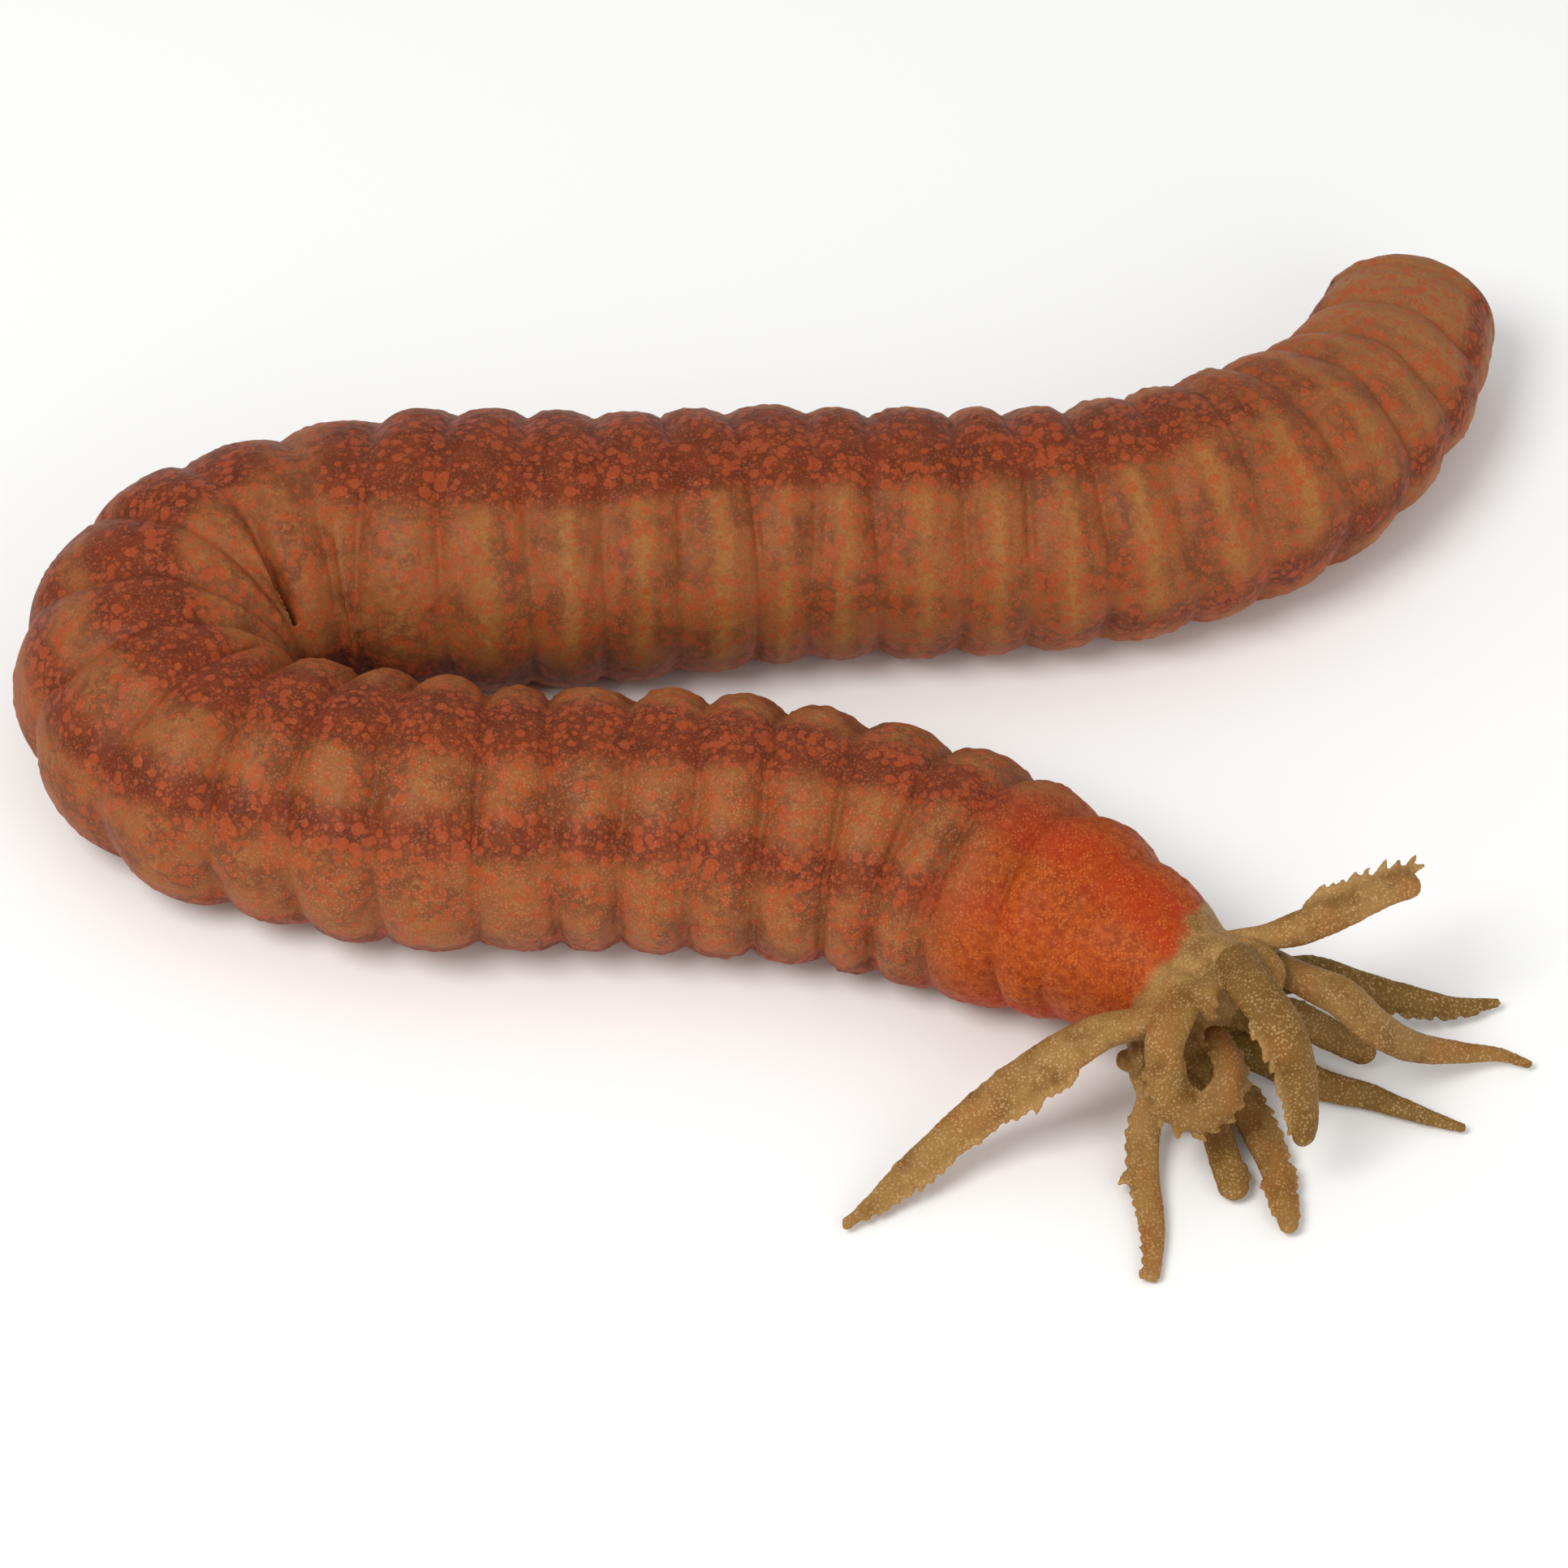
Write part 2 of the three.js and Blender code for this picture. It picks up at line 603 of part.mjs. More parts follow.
const seaCucumber = new THREE.Group();
const animal = new THREE.Group();
animal.position.set(...ORIGIN_SHIFT);
seaCucumber.add(animal);

function addPart(name, geometry, material) {
  const mesh = new THREE.Mesh(geometry, material);
  mesh.name = name;
  animal.add(mesh);
}

let from = 0;
let bulges = 0;
BODY_LENGTHS.forEach(([name, count]) => {
  bulges += count;
  const to = furrows[bulges];
  const skin = name.startsWith('fore') ? FORE_SKIN : HIND_SKIN;
  addPart(name, from === 0 ? makeTail(to) : makeBodyLength(from, to), skin);
  from = to;
});
addPart('neck', makeBodyLength(from, neckEnd), NECK_SKIN);
addPart('crown', makeCrown(), CROWN_SKIN);

straps.forEach((frames, k) => {
  const name = `tentacle_${String(k + 1).padStart(2, '0')}`;
  const makeLength = (from, to) => {
    const strap = makeTentacleLength(k, from, to, frames);
    return join([strap, ...makePinnules(k, from, to)]);
  };
  if (frames.length < SHORT_TENTACLE) {
    addPart(name, makeLength(0, frames.length), TENTACLE_SKIN);
    return;
  }
  const cut = frames.length * STALK_SHARE;
  addPart(`${name}_stalk`, makeLength(0, cut), TENTACLE_SKIN);
  addPart(`${name}_tip`, makeLength(cut, frames.length), TENTACLE_SKIN);
});

export default seaCucumber;
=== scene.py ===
# %% [markdown]
# A worm sea cucumber on the floor
#
# The animal is a long soft tube, a little over 40 cm along its middle, laid in a hairpin. Its wall
# is thrown into ring-shaped bulges, and fifteen feathery feeding tentacles stand round its mouth.
# Everything here is flesh, so one closed skin stands for all of the solids in the frame, and no
# seam can show where one part of the animal runs into the next. The steps are: the middle line,
# the wall round it, the crown and its tentacles, the joining of it all into one skin, the fine
# relief of the skin, and then its colours.

# %% The frame
import math
import bmesh
import bpy
import numpy as np
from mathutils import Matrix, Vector


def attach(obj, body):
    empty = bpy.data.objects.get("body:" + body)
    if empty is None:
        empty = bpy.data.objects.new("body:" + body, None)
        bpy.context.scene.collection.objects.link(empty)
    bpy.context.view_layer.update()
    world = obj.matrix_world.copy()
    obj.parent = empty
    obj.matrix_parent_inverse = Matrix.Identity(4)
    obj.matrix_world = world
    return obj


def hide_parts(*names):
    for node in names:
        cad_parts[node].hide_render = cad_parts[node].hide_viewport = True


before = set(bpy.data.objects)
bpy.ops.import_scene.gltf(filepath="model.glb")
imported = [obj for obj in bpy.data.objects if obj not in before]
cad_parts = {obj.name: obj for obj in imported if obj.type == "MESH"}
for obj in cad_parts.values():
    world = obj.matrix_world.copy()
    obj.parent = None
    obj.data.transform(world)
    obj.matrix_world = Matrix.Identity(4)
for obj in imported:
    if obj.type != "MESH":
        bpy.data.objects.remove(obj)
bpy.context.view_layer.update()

MM = 0.001
ORIGIN_SHIFT = np.array([1.76, 0.89, 0.0])
UPWARD = np.array([0.0, 0.0, 1.0])
print("solids in the frame:", len(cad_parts))

# %% [markdown]
# The middle line
#
# A soft body that lies on the floor is easiest to describe by a line through its middle. The line
# could be a curve object with a bevel, but a bevel gives no say over the cross-section. Here the
# line is a table of places with the half thickness at each, and a smooth curve is drawn through
# them. The sizes are the same as those of the solids, so that the skin lies where they are.

# %% Stations of the body, in millimetres: x, y and half thickness
HIND_STATIONS = [
    (102, 101, 12.4), (97.5, 84, 14.4), (90, 68.5, 16), (77, 54.5, 18.2),
    (60, 44.5, 19), (41, 40, 19.2), (20, 38.5, 19.6), (-2, 37.5, 20.2),
    (-22, 34.5, 21), (-40, 32.6, 21.8), (-56, 32.6, 22),
]
BEND = {"x": -70.5, "y": 6.4, "radius": 26, "half": 20.2, "first": 92, "last": 268, "points": 5}
FORE_STATIONS = [
    (-55, -23.8, 21), (-40, -24.4, 20), (-25, -24.6, 19.9), (-8, -26, 20), (9, -28.8, 19.2),
    (25, -34.2, 18.7), (39, -43, 16.8), (51, -53.2, 13.6), (58.2, -60.2, 10.9),
]
MARKS_A_ROW = 40
COLLAR = 7


def smoothstep(value, low, high):
    """0 below low, 1 above high, and a soft slope between."""
    share = np.clip((np.asarray(value, float) - low) / (high - low), 0, 1)
    return share * share * (3 - 2 * share)


def through(rows, t):
    """The smooth curve through the rows of a table, t rows from its start."""
    rows = np.array(rows, float)
    before, after = 2 * rows[0] - rows[1], 2 * rows[-1] - rows[-2]
    rows = np.concatenate([[before], rows, [after]])
    k = np.clip(np.floor(t).astype(int), 0, len(rows) - 4)
    f = (t - k)[:, None]
    a, b, c, d = (rows[k + step] for step in range(4))
    rise = 2 * a - 5 * b + 4 * c - d
    return b + 0.5 * f * (c - a + f * (rise + f * (3 * b - a - 3 * c + d)))


class Track:
    """A route that is read by its length along the first few columns of its rows."""

    def __init__(self, rows, columns):
        self.rows = rows
        self.t = np.linspace(0, len(rows) - 1, MARKS_A_ROW * (len(rows) - 1) + 1)
        steps = np.diff(through(rows, self.t)[:, :columns], axis=0)
        self.marks = np.concatenate([[0], np.cumsum(np.linalg.norm(steps, axis=1))])
        self.length = self.marks[-1]

    def at(self, distance):
        distance = np.atleast_1d(np.asarray(distance, float))
        k = np.clip(np.searchsorted(self.marks, distance, side="right") - 1, 0, len(self.t) - 2)
        f = (distance - self.marks[k]) / (self.marks[k + 1] - self.marks[k])
        return through(self.rows, self.t[k] + f * (self.t[1] - self.t[0]))


angles = np.radians(np.linspace(BEND["first"], BEND["last"], BEND["points"]))
bend_rows = [
    (BEND["x"] + BEND["radius"] * math.cos(a), BEND["y"] + BEND["radius"] * math.sin(a), BEND["half"])
    for a in angles
]
body = Track(HIND_STATIONS + bend_rows + FORE_STATIONS, columns=2)
CROWN_AT = body.length
NECK_END = CROWN_AT - COLLAR
print(f"middle line {CROWN_AT:.1f} mm, neck ends at {NECK_END:.1f} mm")

# %% [markdown]
# The frame of the body
#
# Every point of the wall is named by two numbers: how far along the body it is, and how far round,
# counted from the top towards the animal's left. At each place along the line three arrows give
# the way ahead, the left and the top. The body sinks a little into its own softness, so its middle
# lies lower than half its thickness, and the neck is lifted off the floor. The line is sampled
# once, finely, and read from there.

# %% Places and arrows along the body
REST_HEIGHT = 0.86
NECK_RISE = 8
NECK_RISE_LENGTH = 42
LINE_STEP = 0.25
LINE_BEFORE, LINE_PAST = 1, 4
NEAR = 0.1


def raised(s):
    """How far the head has lifted off the floor: 0 along the body, 1 at the crown."""
    return smoothstep(s, CROWN_AT - NECK_RISE_LENGTH, CROWN_AT)


def unit(arrows):
    return arrows / np.linalg.norm(arrows, axis=-1, keepdims=True)


def body_centre(s):
    x, y, half = body.at(s).T
    return np.stack([x, y, REST_HEIGHT * half + NECK_RISE * raised(s)], axis=1)


line_s = np.arange(-LINE_BEFORE, CROWN_AT + LINE_PAST, LINE_STEP)
line_centre = body_centre(line_s)
line_ahead = unit(body_centre(line_s + NEAR) - body_centre(line_s - NEAR))
line_left = unit(np.cross(UPWARD, line_ahead))
line_top = np.cross(line_ahead, line_left)
line_half = body.at(line_s)[:, 2]


def read_line(table, s):
    """A table along the line, read at the places s."""
    if table.ndim == 1:
        return np.interp(s, line_s, table)
    return np.stack([np.interp(s, line_s, column) for column in table.T], axis=-1)


print(f"{len(line_s)} samples, middle {line_centre[:, 2].min():.1f} to {line_centre[:, 2].max():.1f} mm high")

# %% [markdown]
# Bulges and furrows
#
# Five muscle bands run the length of the animal and ring muscles cross them. Where the rings pull
# in, the wall folds into a furrow, and it bulges between. A wave texture could dent a smooth tube,
# but real furrows aren't evenly spaced and don't lie square across the body. So each furrow has
# its own place, and sways to and fro on its way round. The bulges are counted from furrow to
# furrow, so one more furrow, without depth, lies just past the crown and closes the last of them.

# %% Where the furrows lie
BULGE_LENGTH = 11.2
BULGE_SPREAD = 0.2
BULGE_SEED = 5
TAIL_DOME = 9
SWAY = 1.3
SWAY_TWICE_ROUND = 0.6
STRENGTH_SPREAD = 0.12
SWAY_SEED = 11
LAST_FURROW_PAST = 2
DRAW_FACTOR, DRAW_STEP, DRAW_RANGE = 1664525, 1013904223, 2 ** 32


def seeded(seed):
    """Draws numbers between 0 and 1, the same ones each time."""
    while True:
        seed = (seed * DRAW_FACTOR + DRAW_STEP) % DRAW_RANGE
        yield seed / DRAW_RANGE


draw = seeded(BULGE_SEED)
furrows = [TAIL_DOME]
while furrows[-1] + BULGE_LENGTH < NECK_END:
    furrows.append(furrows[-1] + BULGE_LENGTH * (1 + BULGE_SPREAD * (next(draw) - 0.5)))
furrows = np.array(furrows)
chance = np.random.default_rng(SWAY_SEED)
furrow_sway = chance.normal(0, SWAY / 2, (4, len(furrows)))
furrow_sway[2:] *= SWAY_TWICE_ROUND
furrow_strength = 1 + chance.normal(0, STRENGTH_SPREAD, len(furrows))
furrows = np.append(furrows, CROWN_AT + LAST_FURROW_PAST)
furrow_sway = np.pad(furrow_sway, ((0, 0), (0, 1)))
furrow_strength = np.append(furrow_strength, 0)
print(f"{len(furrows)} furrows, {np.diff(furrows).mean():.1f} mm apart")

# %% [markdown]
# How deep the furrows are
#
# They deepen towards the head, fade on the neck and at the tail, and are held shallow by the
# muscle bands. The inner side of the bend is squeezed, and one fold there is far deeper than the
# rest: it is the line that runs in between the two limbs.

# %% How deep the wall dips at a place
SWAY_FROM = 30
SWAY_UNTIL = 10
HIND_FURROW = 1.9
FORE_FURROW = 2.8
FURROW_DEEPENS = (0.4, 0.65)
FURROW_SHARPNESS = 2.4
TAIL_FURROWS = 22
NECK_FURROW_FADE = 0.55
NECK_FADE_LENGTH = 24
BANDS = 5
BAND_HOLD = 0.45
FIRST_BAND = 5
CREASE_FURROW = 19
CREASE_DEPTH = 4.5
CREASE_REACH = 2
CREASE_MIDDLE = 78


def furrow_place(s, psi):
    """The share of the way across its bulge, 0 and 1 at the furrows, and the bulge's number."""
    waves = np.cos(psi), np.sin(psi), np.cos(2 * psi), np.sin(2 * psi)
    sway = sum(np.interp(s, furrows, row) * wave for row, wave in zip(furrow_sway, waves))
    free = smoothstep(s, TAIL_DOME, SWAY_FROM) * (1 - smoothstep(s, NECK_END - SWAY_UNTIL, NECK_END))
    moved = s - sway * free
    k = np.clip(np.searchsorted(furrows, moved, side="right") - 1, 0, len(furrows) - 2)
    across = (moved - furrows[k]) / (furrows[k + 1] - furrows[k])
    inside = (moved > furrows[0]) & (moved < furrows[-1])
    return np.where(inside, across, 0.5), k, inside


def furrow_dip(s, psi):
    """How far the wall dips, in millimetres."""
    across, k, inside = furrow_place(s, psi)
    start, end = (share * CROWN_AT for share in FURROW_DEEPENS)
    deepest = HIND_FURROW + (FORE_FURROW - HIND_FURROW) * smoothstep(s, start, end)
    fade = 1 - NECK_FURROW_FADE * smoothstep(s, NECK_END - NECK_FADE_LENGTH, NECK_END)
    band = 0.5 + 0.5 * np.cos(BANDS * (psi - math.radians(FIRST_BAND)))
    nearer = np.where(across < 0.5, k, k + 1)
    strength = furrow_strength[nearer] * smoothstep(furrows[nearer], 0, TAIL_FURROWS)
    shape = np.abs(2 * across - 1) ** FURROW_SHARPNESS
    furrow = deepest * fade * strength * (1 - BAND_HOLD * band) * shape * inside
    near = np.exp(-(((s - furrows[CREASE_FURROW]) / CREASE_REACH) ** 2))
    crease = CREASE_DEPTH * near * np.maximum(0, np.cos(psi - math.radians(CREASE_MIDDLE)))
    return np.maximum(furrow, crease)


print(f"the deep fold lies {furrows[CREASE_FURROW]:.0f} mm from the tail")

# %% [markdown]
# The wall
#
# The wall is a grid of rings. Its underside lies flat on the floor, with a soft roll at the edge of
# the flat, as any soft body has. The tail ends in a blunt dome with the vent in its middle, and the
# head ends in the oral disc with the mouth. Both ends close in a point inside the body, so the
# wall is one closed surface that can be joined to the others later.

# %% Points of the wall
WALL_STEP = 0.5
WALL_SIDES = 220
WIDER_THAN_HIGH = 0.06
FLOOR_ROLL = 1.4
ring_psi = np.linspace(0, 2 * math.pi, WALL_SIDES, endpoint=False)


def ring_grid(s):
    """The place along and the turn round of every point in rings at the places s."""
    return np.meshgrid(np.asarray(s, float), ring_psi, indexing="ij")


def wall_points(s, psi, reach):
    """Points of the wall at these places and turns, where reach is the half thickness."""
    centre = read_line(line_centre, s)
    left = read_line(line_left, s)
    top = read_line(line_top, s)
    wide = WIDER_THAN_HIGH * (1 - raised(s))
    across = (1 + wide) * reach * np.sin(psi)
    floor = -centre[..., 2] / top[..., 2]
    rise = (1 - wide) * reach * np.cos(psi)
    rise = 0.5 * (rise + floor + np.sqrt((rise - floor) ** 2 + FLOOR_ROLL ** 2))
    return centre + left * across[..., None] + top * rise[..., None]


trunk_s, trunk_psi = ring_grid(np.arange(TAIL_DOME, CROWN_AT + 0.01, WALL_STEP))
trunk_reach = read_line(line_half, trunk_s) - furrow_dip(trunk_s, trunk_psi)
trunk = wall_points(trunk_s, trunk_psi, trunk_reach)
print("rings of the trunk:", len(trunk), "of", WALL_SIDES, "points")

# %% The two ends: the tail's dome with the vent, and the oral disc with the mouth
DOME_START = 0.2
DOME_RINGS = 25
DISC_RINGS = 40
VENT_PROFILE = [(2.4, 0.3), (1.6, 0.9), (0.8, 1.4), (0.25, 1.9)]
DISC_PROFILE = [
    (1.5, 0.96), (2.2, 0.86), (1.9, 0.7), (0.9, 0.5),
    (0.4, 0.34), (1.3, 0.26), (1.1, 0.17), (-0.5, 0.12), (-4, 0.1),
]
turns = np.linspace(DOME_START, math.pi / 2, DOME_RINGS + 1)[:-1]
dome_reach = read_line(line_half, TAIL_DOME) * np.sin(turns)
dome = wall_points(*ring_grid(TAIL_DOME * (1 - np.cos(turns))), dome_reach[:, None])
vent_s, vent_reach = np.array(VENT_PROFILE).T
vent = wall_points(*ring_grid(vent_s), vent_reach[:, None])

line_tables = {"centre": line_centre, "ahead": line_ahead, "left": line_left, "top": line_top}
mouth = {name: read_line(table, np.array([CROWN_AT]))[0] for name, table in line_tables.items()}
MOUTH_HALF = float(read_line(line_half, CROWN_AT))
around = np.outer(np.cos(ring_psi), mouth["top"]) + np.outer(np.sin(ring_psi), mouth["left"])
disc = np.array([
    mouth["centre"] + advance * mouth["ahead"] + share * MOUTH_HALF * around
    for advance, share in through(DISC_PROFILE, np.linspace(0, len(DISC_PROFILE) - 1, DISC_RINGS))
])
wall = np.concatenate([vent, dome, trunk, disc])
print("rings of the whole wall:", len(wall))

# %% [markdown]
# Feeding tentacles
#
# Fifteen tentacles stand in a ring on the edge of the disc. Each is a fleshy strap, oval in
# section, that is thickest a third of the way out and carries small fingers, the pinnules, on both
# edges. A bevelled curve would keep the strap's broad side turned at random, so each strap is a
# grid of rings too. Its broad side is carried along the route and given a twist, which decides
# what the viewer sees of its edges.
#
# Each row of the table is one tentacle. root, belly and tip are its widths in millimetres. spread
# is how far it leans out from the line of the head, and twist how far its broad side turns, in
# degrees. tone and green are shares for its colour. fringe is the length of the pinnules on its
# left and right edge, and tuck how far each row of them is turned under. bare is the share of its
# length that is without pinnules at the root, and the millimetres at the tip. teeth are pinnules
# at the very tip, each with its side, length and lean. spur is a stretch of longer ones: where it
# is as a share of the length, how much longer they are, and how wide it is as a share. route is the
# way of its middle, in millimetres.

# %% The fifteen tentacles, in the order of their slots round the disc
TENTACLES = [
    {
        "root": 7.4, "belly": 7.2, "tip": 4, "spread": 28, "twist": 0, "tone": 0.05, "green": 0.3,
        "fringe": [1, 2], "tuck": [60, 0], "bare": [0.42, 1.5],
        "route": [(68.5, -73, 30.5), (72.5, -78.5, 28), (75, -81, 21.5), (76, -82.5, 15), (76, -85, 10)],
    },
    {
        "root": 5, "belly": 4.6, "tip": 3, "spread": 34, "twist": 0, "tone": 0.4, "green": 0.2,
        "fringe": [1.2, 1.2], "tuck": [0, 0], "bare": [0.3, 1],
        "route": [(72, -64, 25), (71.5, -65, 19.5)],
    },
    {
        "root": 6.4, "belly": 5.4, "tip": 4.2, "spread": 55, "twist": 80, "tone": 0.8, "green": 0.0,
        "fringe": [3.4, 0.9], "tuck": [0, -60], "bare": [0.36, 1.2],
        "teeth": [(1, 3, 12)],
        "route": [(80.5, -54.8, 27), (88, -51.5, 28.5), (94, -49, 28.5)],
    },
    {
        "root": 6.2, "belly": 6.2, "tip": 1.3, "spread": 44, "twist": 80, "tone": 0.55, "green": 0.1,
        "fringe": [1.4, 1.4], "tuck": [60, 60], "bare": [0.42, 9],
        "route": [
            (76, -61, 20.5), (82, -65, 20.5), (87, -66, 15.5), (93, -64, 9),
            (100.5, -61, 4.5), (106.5, -59.5, 2.4), (111.5, -60.5, 1.2),
        ],
    },
    {
        "root": 5.4, "belly": 5.8, "tip": 1.4, "spread": 44, "twist": -50, "tone": 0.2, "green": 0.75,
        "fringe": [0.9, 0.9], "tuck": [0, -60], "bare": [0.4, 4],
        "route": [(78, -51, 11), (85.5, -51, 8), (93.5, -51, 5.5), (100.5, -50.5, 3.4), (107.5, -48, 1.6)],
    },
    {
        "root": 5.4, "belly": 5.4, "tip": 4.4, "spread": 36, "twist": 0, "tone": 0.5, "green": 0.3,
        "fringe": [1.2, 1.2], "tuck": [-60, -60], "bare": [0.45, 3],
        "route": [(75, -58, 9.5), (81.5, -59, 6), (88, -60.5, 3)],
    },
    {
        "root": 5, "belly": 5.2, "tip": 1.4, "spread": 28, "twist": 0, "tone": 0.3, "green": 0.7,
        "fringe": [1.2, 1.2], "tuck": [-60, -60], "bare": [0.4, 5],
        "route": [(71.5, -62, 4.2), (79.5, -66, 3), (87, -68, 2.3), (94, -71, 1.8), (101, -73.5, 1.2)],
    },
    {
        "root": 5.8, "belly": 5.4, "tip": 2.8, "spread": 24, "twist": 0, "tone": 0.6, "green": 0.1,
        "fringe": [1.2, 1.2], "tuck": [0, 0], "bare": [0.3, 3],
        "route": [(67.5, -69, 3), (71, -78.5, 2.5), (73, -86.5, 2.1), (74, -94.5, 1.7)],
    },
    {
        "root": 5, "belly": 5, "tip": 4.6, "spread": 24, "twist": 30, "tone": 0.35, "green": 0.25,
        "fringe": [1.2, 1.2], "tuck": [-60, 0], "bare": [0.4, 2.2],
        "route": [(63, -72.5, 2.8), (65, -81, 2.3), (66.5, -88, 2)],
    },
    {
        "root": 4.6, "belly": 4, "tip": 2.8, "spread": 28, "twist": 0, "tone": 0.4, "green": 0.2,
        "fringe": [1.1, 1.1], "tuck": [0, 0], "bare": [0.3, 1],
        "route": [(57.5, -72.5, 5), (58.2, -74.5, 3)],
    },
    {
        "root": 5, "belly": 4.9, "tip": 2.4, "spread": 43, "twist": 90, "tone": 0.7, "green": 0.0,
        "fringe": [0.3, 0.9], "tuck": [0, -60], "bare": [0.28, 0.7],
        "spur": (0.48, 9, 0.025), "teeth": [(1, 1.1, 18), (-1, 1, 14)],
        "route": [(54, -74, 8.6), (53, -78, 4.5), (53, -84.5, 2.5), (54, -93.5, 1.7), (53.5, -103.5, 1.2)],
    },
    {
        "root": 4.8, "belly": 3.8, "tip": 2.8, "spread": 52, "twist": 0, "tone": 0.4, "green": 0.1,
        "fringe": [1.1, 1.1], "tuck": [0, 0], "bare": [0.3, 1],
        "route": [(52, -74, 16.2), (49, -71.5, 14.6)],
    },
    {
        "root": 7.4, "belly": 6.6, "tip": 1.8, "spread": 66, "twist": -85, "tone": 0.65, "green": 0.0,
        "fringe": [1.7, 1.4], "tuck": [0, 60], "bare": [0.28, 4],
        "spur": (0.37, 0.6, 0.08),
        "route": [
            (46, -72.5, 20.5), (37, -75, 15.5), (28.5, -78, 10),
            (21.5, -82.5, 6), (15, -87.5, 3.2), (8.5, -93.5, 1.4),
        ],
    },
    {
        "root": 6.6, "belly": 5.8, "tip": 4, "spread": 44, "twist": -85, "tone": 0.35, "green": 0.05,
        "fringe": [0.9, 1.6], "tuck": [0, 0], "bare": [0.34, 2],
        "route": [
            (55.5, -78, 25), (56, -80.5, 18), (59.5, -81.5, 13), (64, -80, 14),
            (65.5, -76, 16.5), (64, -71, 17), (63.2, -67.5, 16.6),
        ],
    },
    {
        "root": 5.4, "belly": 4.2, "tip": 2.8, "spread": 30, "twist": 0, "tone": 0.4, "green": 0.1,
        "fringe": [1.1, 1.1], "tuck": [0, 0], "bare": [0.3, 1],
        "route": [(61.6, -72.5, 28.5), (62.1, -72.5, 24)],
    },
]
print("tentacles in the table:", len(TENTACLES))

# %% Where each tentacle leaves the crown
SLOTS = 15
FIRST_SLOT = 11
SLOT_RADIUS = 9.5
SLOT_ADVANCE = 1.5


def slot_frame(k):
    """Where a tentacle leaves the crown, its direction and the way its outer side faces."""
    psi = math.radians(FIRST_SLOT + k * 360 / SLOTS)
    outward = mouth["top"] * math.cos(psi) + mouth["left"] * math.sin(psi)
    spread = math.radians(TENTACLES[k]["spread"])
    ahead = mouth["ahead"] * math.cos(spread) + outward * math.sin(spread)
    place = mouth["centre"] + outward * SLOT_RADIUS + mouth["ahead"] * SLOT_ADVANCE
    return place, ahead, unit(outward - ahead * (outward @ ahead))


print("a slot every", 360 // SLOTS, "degrees round the disc")

# %% The way along each tentacle
ROOT_SUNK = 5
ROOT_PROUD = 2.6
ROOT_GAP = 0.3
ROOT_FLARE = 1.6
FLARE_LENGTH = 3
LEAD = 2.6
BELLY_SHARE = 0.4
TAPER_SHARE = 0.35
TAPER_POWER = 1.4
TWIST_SHARE = 0.35
CARRY_STEP = 0.5


class Strap:
    """One tentacle: its places, arrows and width, read by the length along it."""

    def __init__(self, k):
        self.row = TENTACLES[k]
        place, ahead, face = slot_frame(k)
        root = place + ahead * (ROOT_PROUD + ROOT_GAP)
        self.track = Track([root, root + ahead * LEAD, *self.row["route"]], columns=3)
        self.length = self.track.length
        self.s = np.arange(0, self.length + CARRY_STEP, CARRY_STEP)
        self.centre = self.track.at(self.s)
        self.ahead = unit(self.track.at(self.s + NEAR) - self.track.at(self.s - NEAR))
        self.ahead[0] = ahead
        carried = [face]
        for heading in self.ahead[1:]:
            carried.append(unit(carried[-1] - heading * (carried[-1] @ heading)))
        carried = np.array(carried)
        turn = math.radians(self.row["twist"]) * smoothstep(self.s / self.length, 0, TWIST_SHARE)
        self.face = carried * np.cos(turn)[:, None]
        self.face += np.cross(self.ahead, carried) * np.sin(turn)[:, None]
        self.side = np.cross(self.face, self.ahead)

    def read(self, table, s):
        """One of its tables at the lengths s. Before the root the middle runs on straight."""
        found = np.stack([np.interp(s, self.s, column) for column in table.T], axis=-1)
        if table is self.centre:
            found += np.minimum(s, 0)[..., None] * self.ahead[0]
        return found

    def width(self, s):
        share = s / self.length
        wide = self.row["root"] + (self.row["belly"] - self.row["root"]) * smoothstep(share, 0, BELLY_SHARE)
        wide = wide + ROOT_FLARE * np.exp(-np.maximum(s + ROOT_SUNK, 0) / FLARE_LENGTH)
        tapered = np.clip((share - TAPER_SHARE) / (1 - TAPER_SHARE), 0, 1) ** TAPER_POWER
        left = np.clip((self.length - s) / (0.5 * self.row["tip"]), 0, 1)
        return (wide + (self.row["tip"] - wide) * tapered) * np.sqrt(1 - (1 - left) ** 2)


straps = [Strap(k) for k in range(SLOTS)]
print("tentacles, mm long:", [round(float(strap.length)) for strap in straps])

# %% Rings of the straps: flatter on the side of the mouth, with a round tip
STRAP_STEP = 0.45
STRAP_SIDES = 26
INSIDE_CROWN = 1.5
TIP_RINGS = 7
THICKNESS = 0.72
ORAL_FLATNESS = 0.82
FLOOR_EASE = 0.5


def above_floor(points):
    """Points that would pass the floor are eased up onto it."""
    z = points[..., 2]
    points[..., 2] = 0.5 * (z + np.sqrt(z * z + FLOOR_EASE ** 2))
    return points


